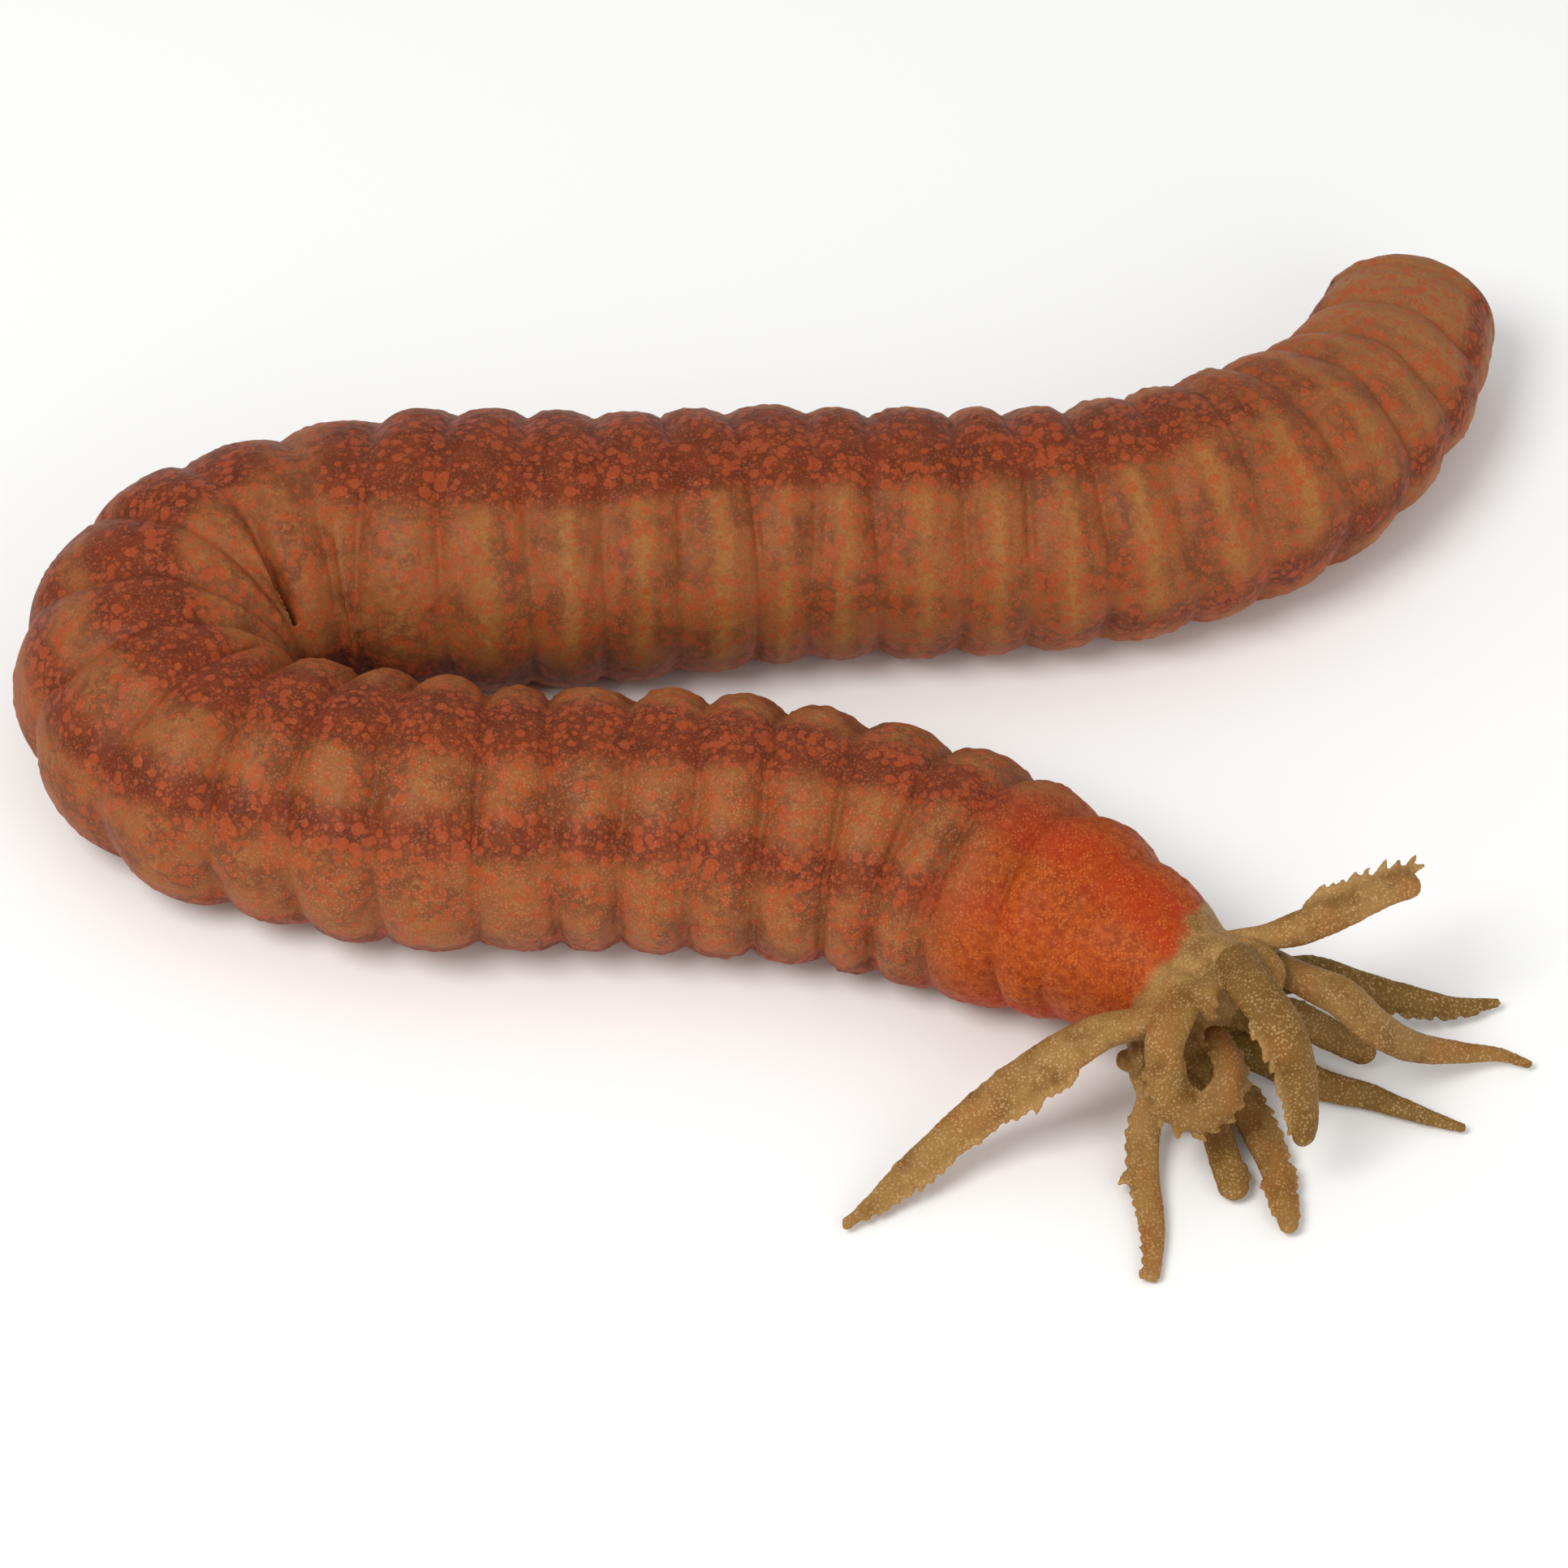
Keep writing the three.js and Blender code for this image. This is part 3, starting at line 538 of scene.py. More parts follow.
def strap_rings(strap):
    """Rings of a strap, and the point at its tip."""
    tip = strap.row["tip"] / 2
    shaft = np.arange(-ROOT_SUNK - INSIDE_CROWN, strap.length - tip, STRAP_STEP)
    cap = strap.length - tip * (1 - np.sin(np.linspace(0, math.pi / 2, TIP_RINGS + 1)[:-1]))
    s = np.concatenate([shaft, cap])
    turn = np.linspace(0, 2 * math.pi, STRAP_SIDES, endpoint=False)
    half = 0.5 * strap.width(s)[:, None, None]
    across = half * np.sin(turn)[None, :, None] * strap.read(strap.side, s)[:, None]
    rise = np.where(np.cos(turn) > 0, 1, ORAL_FLATNESS) * np.cos(turn) * THICKNESS
    upward = half * rise[None, :, None] * strap.read(strap.face, s)[:, None]
    rings = strap.read(strap.centre, s)[:, None] + across + upward
    return above_floor(rings), above_floor(strap.read(strap.centre, np.array([strap.length])))[0]


strap_shells = [strap_rings(strap) for strap in straps]
print("rings of the tentacles:", sum(len(rings) for rings, _ in strap_shells))

# %% [markdown]
# Pinnules
#
# The pinnules sweep food off the sea bed. On the real animal they are soft fingers with a broad,
# flat foot, and they lean to the tip, so a row of them reads as a saw edge. Scattering copies
# of one finger over the edge would give each the same length and foot. Here each is drawn from a
# few sizes and a seeded chance. They are slimmer and shorter where the strap is slim and near its
# tip. One tentacle has a long row with even teeth, like a comb, and two have a stretch of longer
# ones. None is made whose end would come within a millimetre and a half of another tentacle,
# since the join would bridge the gap.

# %% One pinnule
PINNULE_PROFILE = [(-1, 1), (0, 1), (0.25, 0.8), (0.5, 0.62), (0.75, 0.5), (0.92, 0.4), (0.99, 0.2)]
PINNULE_SIDES = 10
PINNULE_FOOT = 1.0
PINNULE_THICK = 0.56
PINNULE_SUNK = 0.3
PINNULE_CURL = 0.22
LEAST_SIZE = 0.8
LEAST_THICK = 0.2


def pinnule_rings(strap, s, hand, long, size, lean):
    """Rings and end point of a finger on the left (1) or right (-1) edge of a strap."""
    here = np.array([s])
    centre, ahead, face, side = (
        strap.read(table, here)[0] for table in (strap.centre, strap.ahead, strap.face, strap.side))
    width = float(strap.width(here)[0])
    tuck = math.radians(strap.row["tuck"][0 if hand > 0 else 1])
    out = hand * side * math.cos(tuck) - face * math.sin(tuck)
    along = out * math.sin(math.radians(lean)) + ahead * math.cos(math.radians(lean))
    broad = unit(ahead - along * (ahead @ along))
    thick = np.cross(along, broad)
    edge = 0.5 * width * math.hypot(math.cos(tuck), THICKNESS * math.sin(tuck))
    base = centre + out * edge
    turn = np.linspace(0, 2 * math.pi, PINNULE_SIDES, endpoint=False)
    rings = []
    for share, stout in PINNULE_PROFILE:
        if share < 0:
            place = base - out * PINNULE_SUNK * width
        else:
            place = base + along * share * long + ahead * PINNULE_CURL * long * share ** 2
        ring = place + np.outer(np.cos(turn), broad) * PINNULE_FOOT * stout * size
        thickness = max(PINNULE_THICK * stout ** 0.5 * max(size, LEAST_SIZE), LEAST_THICK)
        rings.append(ring + np.outer(np.sin(turn), thick) * thickness)
    end = base + along * long + ahead * PINNULE_CURL * long
    return above_floor(np.array(rings)), above_floor(end[None])[0]


print("rings of a pinnule:", len(PINNULE_PROFILE), "of", PINNULE_SIDES, "points")

# %% Room between the tentacles
def clear_of(point, k):
    """How far a point lies outside the nearest of the other tentacles."""
    return min(
        (np.linalg.norm(other.centre - point, axis=1) - 0.5 * other.width(other.s)).min()
        for j, other in enumerate(straps) if j != k
    )


print(f"the first tip is {clear_of(straps[0].centre[-1], 0):.1f} mm clear of the other tentacles")

# %% All the pinnules
PINNULE_SEED = 100
PINNULE_LEAN = 50
PINNULE_PITCH = 1.9
PITCH_RANGE = (0.75, 1.3)
LENGTH_RANGE = (0.6, 1.25)
SLIM_WIDTH = 4
SLIM_LENGTH = 0.55
SLIM_SIZE = 0.65
SHORTER_OVER = 20
SHORTEST_AT_TIP = 0.35
COMB_FROM = 3
COMB_LEAN = 46
COMB_PITCH = 2.3
COMB_RANGE = (0.85, 1.15)
COMB_SIZE = 0.95
NO_SPUR = (0, 0, 1)
TOOTH_FROM_TIP = 1.4
TOOTH_SIZE = 0.9
LEAST_CLEARANCE = 1.5


def edge_pinnules(k, hand):
    """The pinnules on the left (1) or right (-1) edge of a tentacle."""
    strap = straps[k]
    chance = np.random.default_rng(PINNULE_SEED + 2 * k + (hand > 0))
    reach = strap.row["fringe"][0 if hand > 0 else 1]
    spur_at, spur_gain, spur_span = strap.row.get("spur", NO_SPUR)
    bare_share, bare_tip = strap.row["bare"]
    comb = reach > COMB_FROM
    made = []
    s = bare_share * strap.length
    while s < strap.length - bare_tip:
        slim = min(1, float(strap.width(np.array([s]))[0]) / SLIM_WIDTH)
        spur = spur_gain * math.exp(-((s / strap.length - spur_at) / spur_span) ** 2)
        long = reach * chance.uniform(*LENGTH_RANGE) * (SLIM_LENGTH + (1 - SLIM_LENGTH) * slim) * (1 + spur)
        long = long * min(1, SHORTEST_AT_TIP + (strap.length - s) / SHORTER_OVER)
        long = reach * chance.uniform(*COMB_RANGE) if comb else long
        size = COMB_SIZE if comb else SLIM_SIZE + (1 - SLIM_SIZE) * slim
        finger = pinnule_rings(strap, s, hand, long, size, COMB_LEAN if comb else PINNULE_LEAN)
        if clear_of(finger[1], k) > LEAST_CLEARANCE:
            made.append(finger)
        s += COMB_PITCH if comb else PINNULE_PITCH * chance.uniform(*PITCH_RANGE)
    return made


pinnules = []
for k, strap in enumerate(straps):
    pinnules += edge_pinnules(k, 1) + edge_pinnules(k, -1)
    for hand, long, lean in strap.row.get("teeth", []):
        tooth_at = strap.length - TOOTH_FROM_TIP
        pinnules.append(pinnule_rings(strap, tooth_at, hand, long, TOOTH_SIZE, lean))
print("pinnules:", len(pinnules))

# %% [markdown]
# One skin
#
# The wall, the straps and the pinnules are closed surfaces that run into each other. Boolean joins
# would keep a hard line at every root. A voxel remesh fills the whole lot with small cubes and
# draws one new surface round them, so the roots melt into the crown as flesh does. The cubes are
# small enough to keep the pinnules. What steps they leave are taken out by smoothing.

# %% Joining the closed surfaces
VOXEL = 0.4
GULLET_DEPTH = 4.5


def closed_surface(rings, start, end):
    """Points and faces of a closed skin through rings, with a point at each end."""
    rows, sides = rings.shape[:2]
    j = np.arange(sides)
    ahead = (j + 1) % sides
    base = (np.arange(rows - 1) * sides)[:, None]
    quads = np.stack([base + j, base + sides + j, base + sides + ahead, base + ahead], axis=2)
    last = (rows - 1) * sides
    first_point, last_point = rows * sides, rows * sides + 1
    caps = [[first_point, a, b] for a, b in zip(j, ahead)]
    caps += [[last_point, last + b, last + a] for a, b in zip(j, ahead)]
    points = np.concatenate([rings.reshape(-1, 3), [start], [end]])
    return points, quads.reshape(-1, 4).tolist() + caps


gullet = mouth["centre"] - GULLET_DEPTH * mouth["ahead"]
points, faces = [], []
count = 0
for rings, end in [(wall, gullet), *strap_shells, *pinnules]:
    shell_points, shell_faces = closed_surface(rings, rings[0].mean(axis=0), end)
    points.append(shell_points)
    faces += [[corner + count for corner in face] for face in shell_faces]
    count += len(shell_points)
mesh = bpy.data.meshes.new("skin")
mesh.from_pydata((np.concatenate(points) + ORIGIN_SHIFT) * MM, [], faces)
skin = bpy.data.objects.new("skin", mesh)
bpy.context.scene.collection.objects.link(skin)
remesh = skin.modifiers.new("joined", "REMESH")
remesh.mode = "VOXEL"
remesh.voxel_size = VOXEL * MM
remesh.adaptivity = 0
bpy.context.view_layer.update()
joined = bpy.data.meshes.new_from_object(skin.evaluated_get(bpy.context.evaluated_depsgraph_get()))
skin.modifiers.clear()
skin.data = joined
bpy.data.meshes.remove(mesh)
mesh = skin.data
print("points before the join:", count, "and after it:", len(mesh.vertices))

# %% [markdown]
# No loose shells
#
# The join can leave a small bubble inside the flesh. Nothing shows of it, but a mesh for reuse
# should be one closed surface. By hand it could be found and deleted in edit mode. Here each point
# takes the lowest number among the points that it is joined to, so that every loose piece has a
# number of its own. The largest is the animal, and all the others are taken out.

# %% Bubbles that the join leaves inside are taken out
def read_edges(source):
    """The points at the two ends of every edge."""
    ends = np.empty(len(source.edges) * 2, int)
    source.edges.foreach_get("vertices", ends)
    return ends.reshape(-1, 2).T


def group_of_each_point(count, starts, ends):
    """The lowest number among the points that each point is joined to."""
    label = np.arange(count)
    while True:
        lowest = label.copy()
        for one, other in ((starts, ends), (ends, starts)):
            np.minimum.at(lowest, label[one], label[other])
        while (lowest[lowest] != lowest).any():
            lowest = lowest[lowest]
        if (lowest == label).all():
            return label
        label = lowest


group = group_of_each_point(len(mesh.vertices), *read_edges(mesh))
stray = np.flatnonzero(group != np.bincount(group).argmax())
if len(stray):
    shape = bmesh.new()
    shape.from_mesh(mesh)
    shape.verts.ensure_lookup_table()
    bmesh.ops.delete(shape, geom=[shape.verts[i] for i in stray], context="VERTS")
    shape.to_mesh(mesh)
    shape.free()
print("joined skin:", len(mesh.vertices), "points,", len(stray), "points of bubbles taken out")

# %% [markdown]
# Smoothing
#
# The cubes leave small steps. Plain smoothing pulls each point to the middle of its neighbours,
# which takes out the steps but also melts thin fingers away. So each round is followed by a push
# the other way that is slightly stronger: the steps go, and the fingers keep their size.

# %% Smoothing away the steps of the cubes
SMOOTH_ROUNDS = 4
SMOOTH_PULL, SMOOTH_PUSH = 0.5, -0.53


def read_vectors(source, name):
    """Three numbers for each point: "co" is its place, and "normal" is the way it faces."""
    flat = np.empty(len(source.vertices) * 3)
    source.vertices.foreach_get(name, flat)
    return flat.reshape(-1, 3)


edge_from, edge_to = read_edges(mesh)
neighbours = np.bincount(edge_from, minlength=len(mesh.vertices))
neighbours = neighbours + np.bincount(edge_to, minlength=len(mesh.vertices))


def neighbour_mean(values):
    """The mean of each point's neighbours, for one number or three a point."""
    totals = [
        np.bincount(edge_from, column[edge_to], len(values))
        + np.bincount(edge_to, column[edge_from], len(values))
        for column in values.T
    ]
    return np.stack(totals, axis=1) / neighbours[:, None]


place = read_vectors(mesh, "co") / MM - ORIGIN_SHIFT
for _ in range(SMOOTH_ROUNDS):
    for share in (SMOOTH_PULL, SMOOTH_PUSH):
        place = place + share * (neighbour_mean(place) - place)
print("smoothed", len(place), "points")

# %% [markdown]
# Where each point of the skin is
#
# The remesh forgets which part of the animal a point came from, and the relief and the colours need
# to know. So each point looks for the nearest place on the middle lines: of the body, and near
# the head of every tentacle too. From that come its length along, its turn round, and how far it
# stands off the strap, which tells a pinnule from its tentacle.

# %% The nearest place on the body
BODY_SAMPLE_STEP = 1.0
CHUNK = 40000
CLOSING_ROUNDS = 2
CLOSING_SHARE = 0.8
PAST_CROWN = 3


def nearest(points, samples):
    """The number of the nearest sample to each point."""
    found = np.empty(len(points), int)
    squares = (samples ** 2).sum(axis=1)
    for start in range(0, len(points), CHUNK):
        block = points[start:start + CHUNK]
        found[start:start + CHUNK] = np.argmin(squares - 2 * block @ samples.T, axis=1)
    return found


sample_s = np.arange(0, CROWN_AT + PAST_CROWN, BODY_SAMPLE_STEP)
along_body = sample_s[nearest(place, read_line(line_centre, sample_s))]
for _ in range(CLOSING_ROUNDS):
    offset = place - read_line(line_centre, along_body)
    ahead_here = read_line(line_ahead, along_body)
    step = np.clip((offset * ahead_here).sum(axis=1), -1, 1)
    along_body = np.clip(along_body + CLOSING_SHARE * step, -1, CROWN_AT + PAST_CROWN)
offset = place - read_line(line_centre, along_body)
from_axis = np.linalg.norm(offset, axis=1)
round_body = np.arctan2(
    (offset * read_line(line_left, along_body)).sum(axis=1),
    (offset * read_line(line_top, along_body)).sum(axis=1))
print(f"points lie {along_body.min():.1f} to {along_body.max():.1f} mm along the body")

# %% The nearest place on a tentacle
HEAD_REACH = 75
STRAP_SAMPLE_STEP = 0.6
STRAP_CHUNK = 10000
FAR_OFF = 99.0
near_head = np.flatnonzero(np.linalg.norm(place - mouth["centre"], axis=1) < HEAD_REACH)
samples, owners, lengths, halves = [], [], [], []
for k, strap in enumerate(straps):
    s = np.arange(-ROOT_SUNK, strap.length, STRAP_SAMPLE_STEP)
    samples.append(strap.read(strap.centre, s))
    owners.append(np.full(len(s), k))
    lengths.append(s)
    halves.append(0.5 * strap.width(s))
samples, owners = np.concatenate(samples), np.concatenate(owners)
lengths, halves = np.concatenate(lengths), np.concatenate(halves)
stand_off = np.full(len(place), FAR_OFF)
tentacle = np.full(len(place), -1)
along_strap = np.zeros(len(place))
for start in range(0, len(near_head), STRAP_CHUNK):
    chosen = near_head[start:start + STRAP_CHUNK]
    gaps = np.sqrt(np.maximum(
        (samples ** 2).sum(axis=1) - 2 * place[chosen] @ samples.T
        + (place[chosen] ** 2).sum(axis=1)[:, None], 0))
    best = np.argmin(gaps - halves, axis=1)
    stand_off[chosen] = gaps[np.arange(len(chosen)), best] - halves[best]
    tentacle[chosen] = owners[best]
    along_strap[chosen] = lengths[best]
print("points near the head:", len(near_head))

# %% Which points belong to a tentacle, and which to the wall under its root
ROOT_BLEND = 4
FINGER_REACH = (3.2, 4.5)
FREE_OF_ROOT = 8
WALL_STOPS, WALL_STOPS_AT_ROOTS = 2, 3
WALL_THICKER, WALL_MARGIN = 1.05, 0.6
on_strap = smoothstep(-stand_off, -FINGER_REACH[1], -FINGER_REACH[0]) * smoothstep(along_strap, 0, ROOT_BLEND)
at_root, away = NECK_END - WALL_STOPS_AT_ROOTS, CROWN_AT - WALL_STOPS
wall_ends = np.where(along_strap > FREE_OF_ROOT, away, at_root)
on_wall = from_axis < WALL_THICKER * read_line(line_half, along_body) + WALL_MARGIN
on_strap[on_wall & (along_body < wall_ends)] = 0
print("points on tentacles:", int((on_strap > 0.5).sum()))

# %% [markdown]
# Fine relief
#
# Up close the wall isn't smooth between its furrows. There is a sharp line in the bottom of each
# furrow, fine creases run across, and low warts sit all over. A bump map would fake these and
# leave the outline smooth, so they are moved into the skin itself. The noise is made from whole
# numbers by a fixed rule, so it comes out the same every time.

# %% Noise and warts from a fixed rule
PRIME_X, PRIME_Y, PRIME_Z, PRIME_SEED = 73856093, 19349663, 83492791, 2654435761
FIRST_STIR, SECOND_STIR = 1274126177, 2246822519
WORD = 2 ** 32
WART_WIDTH_SEED, WART_HEIGHT_SEED = 7, 9


def lattice(cells, seed):
    """A number between 0 and 1 for each cell of a grid of cubes."""
    x, y, z = (cells[..., i].astype(np.int64) for i in range(3))
    value = (x * PRIME_X) ^ (y * PRIME_Y) ^ (z * PRIME_Z) ^ (seed * PRIME_SEED)
    value = (value ^ (value >> 13)) * FIRST_STIR & (WORD - 1)
    value = (value ^ (value >> 16)) * SECOND_STIR & (WORD - 1)
    return (value ^ (value >> 15)) / WORD


def noise(points, size, seed):
    """Soft noise from 0 to 1 whose lumps are about size across."""
    scaled = points / size
    cell = np.floor(scaled)
    f = scaled - cell
    f = f * f * (3 - 2 * f)
    total = np.zeros(len(points))
    for corner in np.ndindex(2, 2, 2):
        weight = np.prod(np.where(corner, f, 1 - f), axis=1)
        total += weight * lattice(cell + corner, seed)
    return total


def warts(points, spacing, radius, seed):
    """Domes from 0 to 1, one in each cube of the grid, of uneven width."""
    cell = np.floor(points / spacing)
    height = np.zeros(len(points))
    for corner in np.ndindex(3, 3, 3):
        home = cell + np.array(corner) - 1
        middle = np.stack([home[:, i] + lattice(home, seed + i) for i in range(3)], axis=1) * spacing
        wide = radius * (0.5 + lattice(home, seed + WART_WIDTH_SEED))
        gap = np.linalg.norm(points - middle, axis=1) / wide
        tall = 0.5 + 0.5 * lattice(home, seed + WART_HEIGHT_SEED)
        height = np.maximum(height, np.clip(1 - gap ** 2, 0, 1) * tall)
    return height


print(f"mean of the noise: {noise(place[:CHUNK], 9, 3).mean():.2f}")

# %% Creases, warts and lumps of the wall. Each noise is a size in millimetres and a seed
CREASE_LINE = 0.14
CREASE_LINE_WIDTH = 0.6
CREASE_LINE_LEAST = 0.4
CREASE_LINE_NOISE = (9, 3)
FINE_CREASE = 0.1
FINE_CREASE_LENGTH = 2.7
FINE_CREASE_NOISE = (6, 5)
WANDER = 2.2
WANDER_NOISE = (7, 21)
SMALL_WANDER = 0.8
SMALL_WANDER_NOISE = (2.5, 22)
CALM_NECK = 0.6
CALM_NECK_LENGTH = 30
BEND_STARTS, BEND_ENDS = (170, 195), (262, 285)
WART_HEIGHT = 0.34
WART_RADIUS = 0.95
WART_SPACING = 2.6
WART_SEED = 40
WART_LEAST = 0.35
WART_NOISE = (12, 8)
LUMP = 0.5
LUMP_NOISE = (6, 13)
SMOOTH_TAIL = (2, 8)

across, bulge, inside = furrow_place(along_body, round_body)
span = np.diff(furrows)[bulge]
to_furrow = np.minimum(across, 1 - across) * span
on_body = 1 - smoothstep(along_body, NECK_END - 2, CROWN_AT)
soft = CREASE_LINE_LEAST + (1 - CREASE_LINE_LEAST) * noise(place, *CREASE_LINE_NOISE)
relief = -CREASE_LINE * np.exp(-(to_furrow / CREASE_LINE_WIDTH) ** 2) * inside * soft
wander = WANDER * noise(place, *WANDER_NOISE) + SMALL_WANDER * noise(place, *SMALL_WANDER_NOISE)
lines = np.sin(2 * math.pi * (along_body + wander) / FINE_CREASE_LENGTH)
calm_neck = 1 - CALM_NECK * smoothstep(along_body, NECK_END - CALM_NECK_LENGTH, NECK_END)
in_bend = smoothstep(along_body, *BEND_STARTS) * (1 - smoothstep(along_body, *BEND_ENDS))
relief += FINE_CREASE * lines * noise(place, *FINE_CREASE_NOISE) * calm_neck * (1 - in_bend)
wart_height = WART_HEIGHT * warts(place, WART_SPACING, WART_RADIUS, WART_SEED)
relief += wart_height * (WART_LEAST + (1 - WART_LEAST) * noise(place, *WART_NOISE))
relief += LUMP * (noise(place, *LUMP_NOISE) - 0.5)
relief *= on_body * smoothstep(along_body, *SMOOTH_TAIL)
print(f"relief of the wall: {relief.min():.2f} to {relief.max():.2f} mm")

# %% Pleats round the vent and the mouth, and faint rings on the tentacles
VENT_PLEATS = 12
VENT_PLEAT = 0.45
PLEAT_WANDER = 2
PLEAT_NOISE = (2, 17)
VENT_ZONE = 4
VENT_OUTER, VENT_INNER = (3, 6.5), (1, 2.5)
DISC_PLEAT = 0.22
DISC_OUTER, DISC_INNER = 9.5, 2
DISC_DEPTH = 0.5
STRAP_RING = 0.025
STRAP_RING_LENGTH = 1.3
STRAP_RING_WANDER = 0.5
STRAP_RING_NOISE = (2, 31)
STRAP_GRAIN = 0.16
STRAP_GRAIN_NOISE = (1.6, 33)
ON_THE_STRAP = 0.2
pleat = np.cos(VENT_PLEATS * round_body + PLEAT_WANDER * noise(place, *PLEAT_NOISE))
round_vent = smoothstep(-from_axis, -VENT_OUTER[1], -VENT_OUTER[0]) * smoothstep(from_axis, *VENT_INNER)
relief += VENT_PLEAT * pleat * (round_vent * (along_body < VENT_ZONE))
on_disc = (along_body > CROWN_AT - DISC_DEPTH) * (1 - on_strap) * (from_axis < DISC_OUTER)
petals = np.cos(SLOTS * (round_body - math.radians(FIRST_SLOT)))
relief += DISC_PLEAT * petals * on_disc * (from_axis > DISC_INNER)
moved_along = along_strap + STRAP_RING_WANDER * noise(place, *STRAP_RING_NOISE)
strap_ring = np.sin(2 * math.pi * moved_along / STRAP_RING_LENGTH)
strap_relief = STRAP_RING * strap_ring + STRAP_GRAIN * (noise(place, *STRAP_GRAIN_NOISE) - 0.5)
relief += strap_relief * on_strap * (stand_off < ON_THE_STRAP)
print(f"relief from {relief.min():.2f} to {relief.max():.2f} mm")


# %% Moving the skin
def write_points(target, values):
    """Puts points given in millimetres where the frame has them, in metres."""
    target.vertices.foreach_set("co", ((values + ORIGIN_SHIFT) * MM).astype(np.float32).ravel())
    target.update()


write_points(mesh, place)
place = place + read_vectors(mesh, "normal") * relief[:, None]
place[:, 2] = np.maximum(place[:, 2], 0)
write_points(mesh, place)
print(f"the skin is {place[:, 2].max():.1f} mm high")

# %% [markdown]
# What the colours need to know
#
# The colour of the animal follows its anatomy: dark stripes lie over the muscle bands, tan lies
# between them, the neck is orange, and the crown is olive tan. Painting an image would need
# the skin laid out flat. It is simpler to store a few plain numbers at each point, such as how near
# the middle of a dark stripe it is, and let the material turn them into colour.

# %% The dark stripes, as rows of: place along, middle and half width in degrees, and darkness
STRIPES = [
    [(0, -5, 20, 0), (40, -5, 24, 0.25), (70, -8, 28, 0.75), (105, -10, 31, 1), (190, -5, 38, 1),
     (203, -5, 34, 0.8), (209, -10, 26, 0.2), (217, -28, 24, 1), (232, -25, 26, 1), (245, -4, 26, 1),
     (262, 5, 25, 0.94), (300, 6, 23, 0.92), (340, 0, 19, 0.92), (385, 2, 19, 0.85), (426, 2, 24, 0.75)],
    # The second stripe is fainter round 90 to 150 mm, which paints light onto the lower edge of the far limb,
    # where it lies in shade.
    [(0, 58, 13, 0.95), (14, 60, 13, 0.95), (30, 76, 14, 0.9), (60, 96, 14, 0.85), (90, 108, 14, 0.6),
     (150, 116, 15, 0.5), (205, 104, 16, 1), (260, 96, 15, 1), (426, 94, 14, 1)],
    [(0, 166, 14, 0.8), (426, 166, 14, 0.8)],
    [(0, -128, 14, 0.8), (260, -124, 13, 0.9), (426, -122, 12, 0.9)],
    [(0, -76, 14, 1), (190, -76, 14, 1), (225, -66, 13, 1), (240, -60, 12, 0.9),
     (262, -57, 12, 0.86), (385, -56, 12, 0.8), (426, -56, 12, 0.3)],
]
STRIPE_EDGE = 14
STRIPE_WANDER = 8
STRIPE_WANDER_SIZE, STRIPE_WANDER_SEED = 22, 50
STRIPE_LEAST_WIDTH, STRIPE_SWELLING = 0.85, 0.3
STRIPE_WIDTH_SIZE, STRIPE_WIDTH_SEED = 25, 60
turn_round = np.degrees(round_body)
stripe = np.zeros(len(place))
for number, rows in enumerate(STRIPES):
    at, turns_at, halves_at, darkness = zip(*rows)
    to_and_fro = noise(place, STRIPE_WANDER_SIZE, STRIPE_WANDER_SEED + number) - 0.5
    middle = np.interp(along_body, at, turns_at) + STRIPE_WANDER * to_and_fro
    gap = np.abs((turn_round - middle + 180) % 360 - 180)
    swelling = STRIPE_SWELLING * noise(place, STRIPE_WIDTH_SIZE, STRIPE_WIDTH_SEED + number)
    wide = np.interp(along_body, at, halves_at) * (STRIPE_LEAST_WIDTH + swelling)
    band = 1 - smoothstep(gap, wide - STRIPE_EDGE, wide + STRIPE_EDGE)
    stripe = np.maximum(stripe, band * np.interp(along_body, at, darkness))
print(f"share of the skin that is striped: {(stripe > 0.5).mean():.2f}")

# %% Where neck and crown begin, and how thick the pale specks lie
NECK_STARTS, NECK_FULL = 382, 412
NECK_SLANT = 6
NECK_TOP = 45
CROWN_EDGE = 425.5
CROWN_EDGE_SLANT = 8
CROWN_EDGE_TURN = 50
CROWN_EDGE_RAGGED = 2.4
CROWN_EDGE_NOISE = (3, 71)
CROWN_EDGE_SOFT = 1.2
BODY_SPECKS = 0.2
HEAD_SPECKS = 0.26
NECK_SHARE = 0.9
FORE_SPECKS = 0.2
FORE_SPECKS_FROM = (255, 300)
underneath = 0.5 - 0.5 * np.cos(round_body + math.radians(CROWN_EDGE_TURN))
ragged_by = CROWN_EDGE_RAGGED * (noise(place, *CROWN_EDGE_NOISE) - 0.5)
crown_line = CROWN_EDGE - CROWN_EDGE_SLANT * underneath + ragged_by
crown = smoothstep(along_body, crown_line - CROWN_EDGE_SOFT, crown_line + CROWN_EDGE_SOFT)
crown = np.maximum(crown, on_strap)
low_side = 0.5 - 0.5 * np.cos(round_body - math.radians(NECK_TOP))
neck_here = smoothstep(along_body + NECK_SLANT * low_side, NECK_STARTS, NECK_FULL)
specks = BODY_SPECKS + HEAD_SPECKS * np.maximum(crown, NECK_SHARE * neck_here)
fore_specks = FORE_SPECKS * smoothstep(along_body, *FORE_SPECKS_FROM) * (1 - stripe)
specks = np.maximum(specks, BODY_SPECKS + fore_specks)
print(f"orange neck from {NECK_STARTS} mm, olive crown from {crown_line.min():.0f} mm")

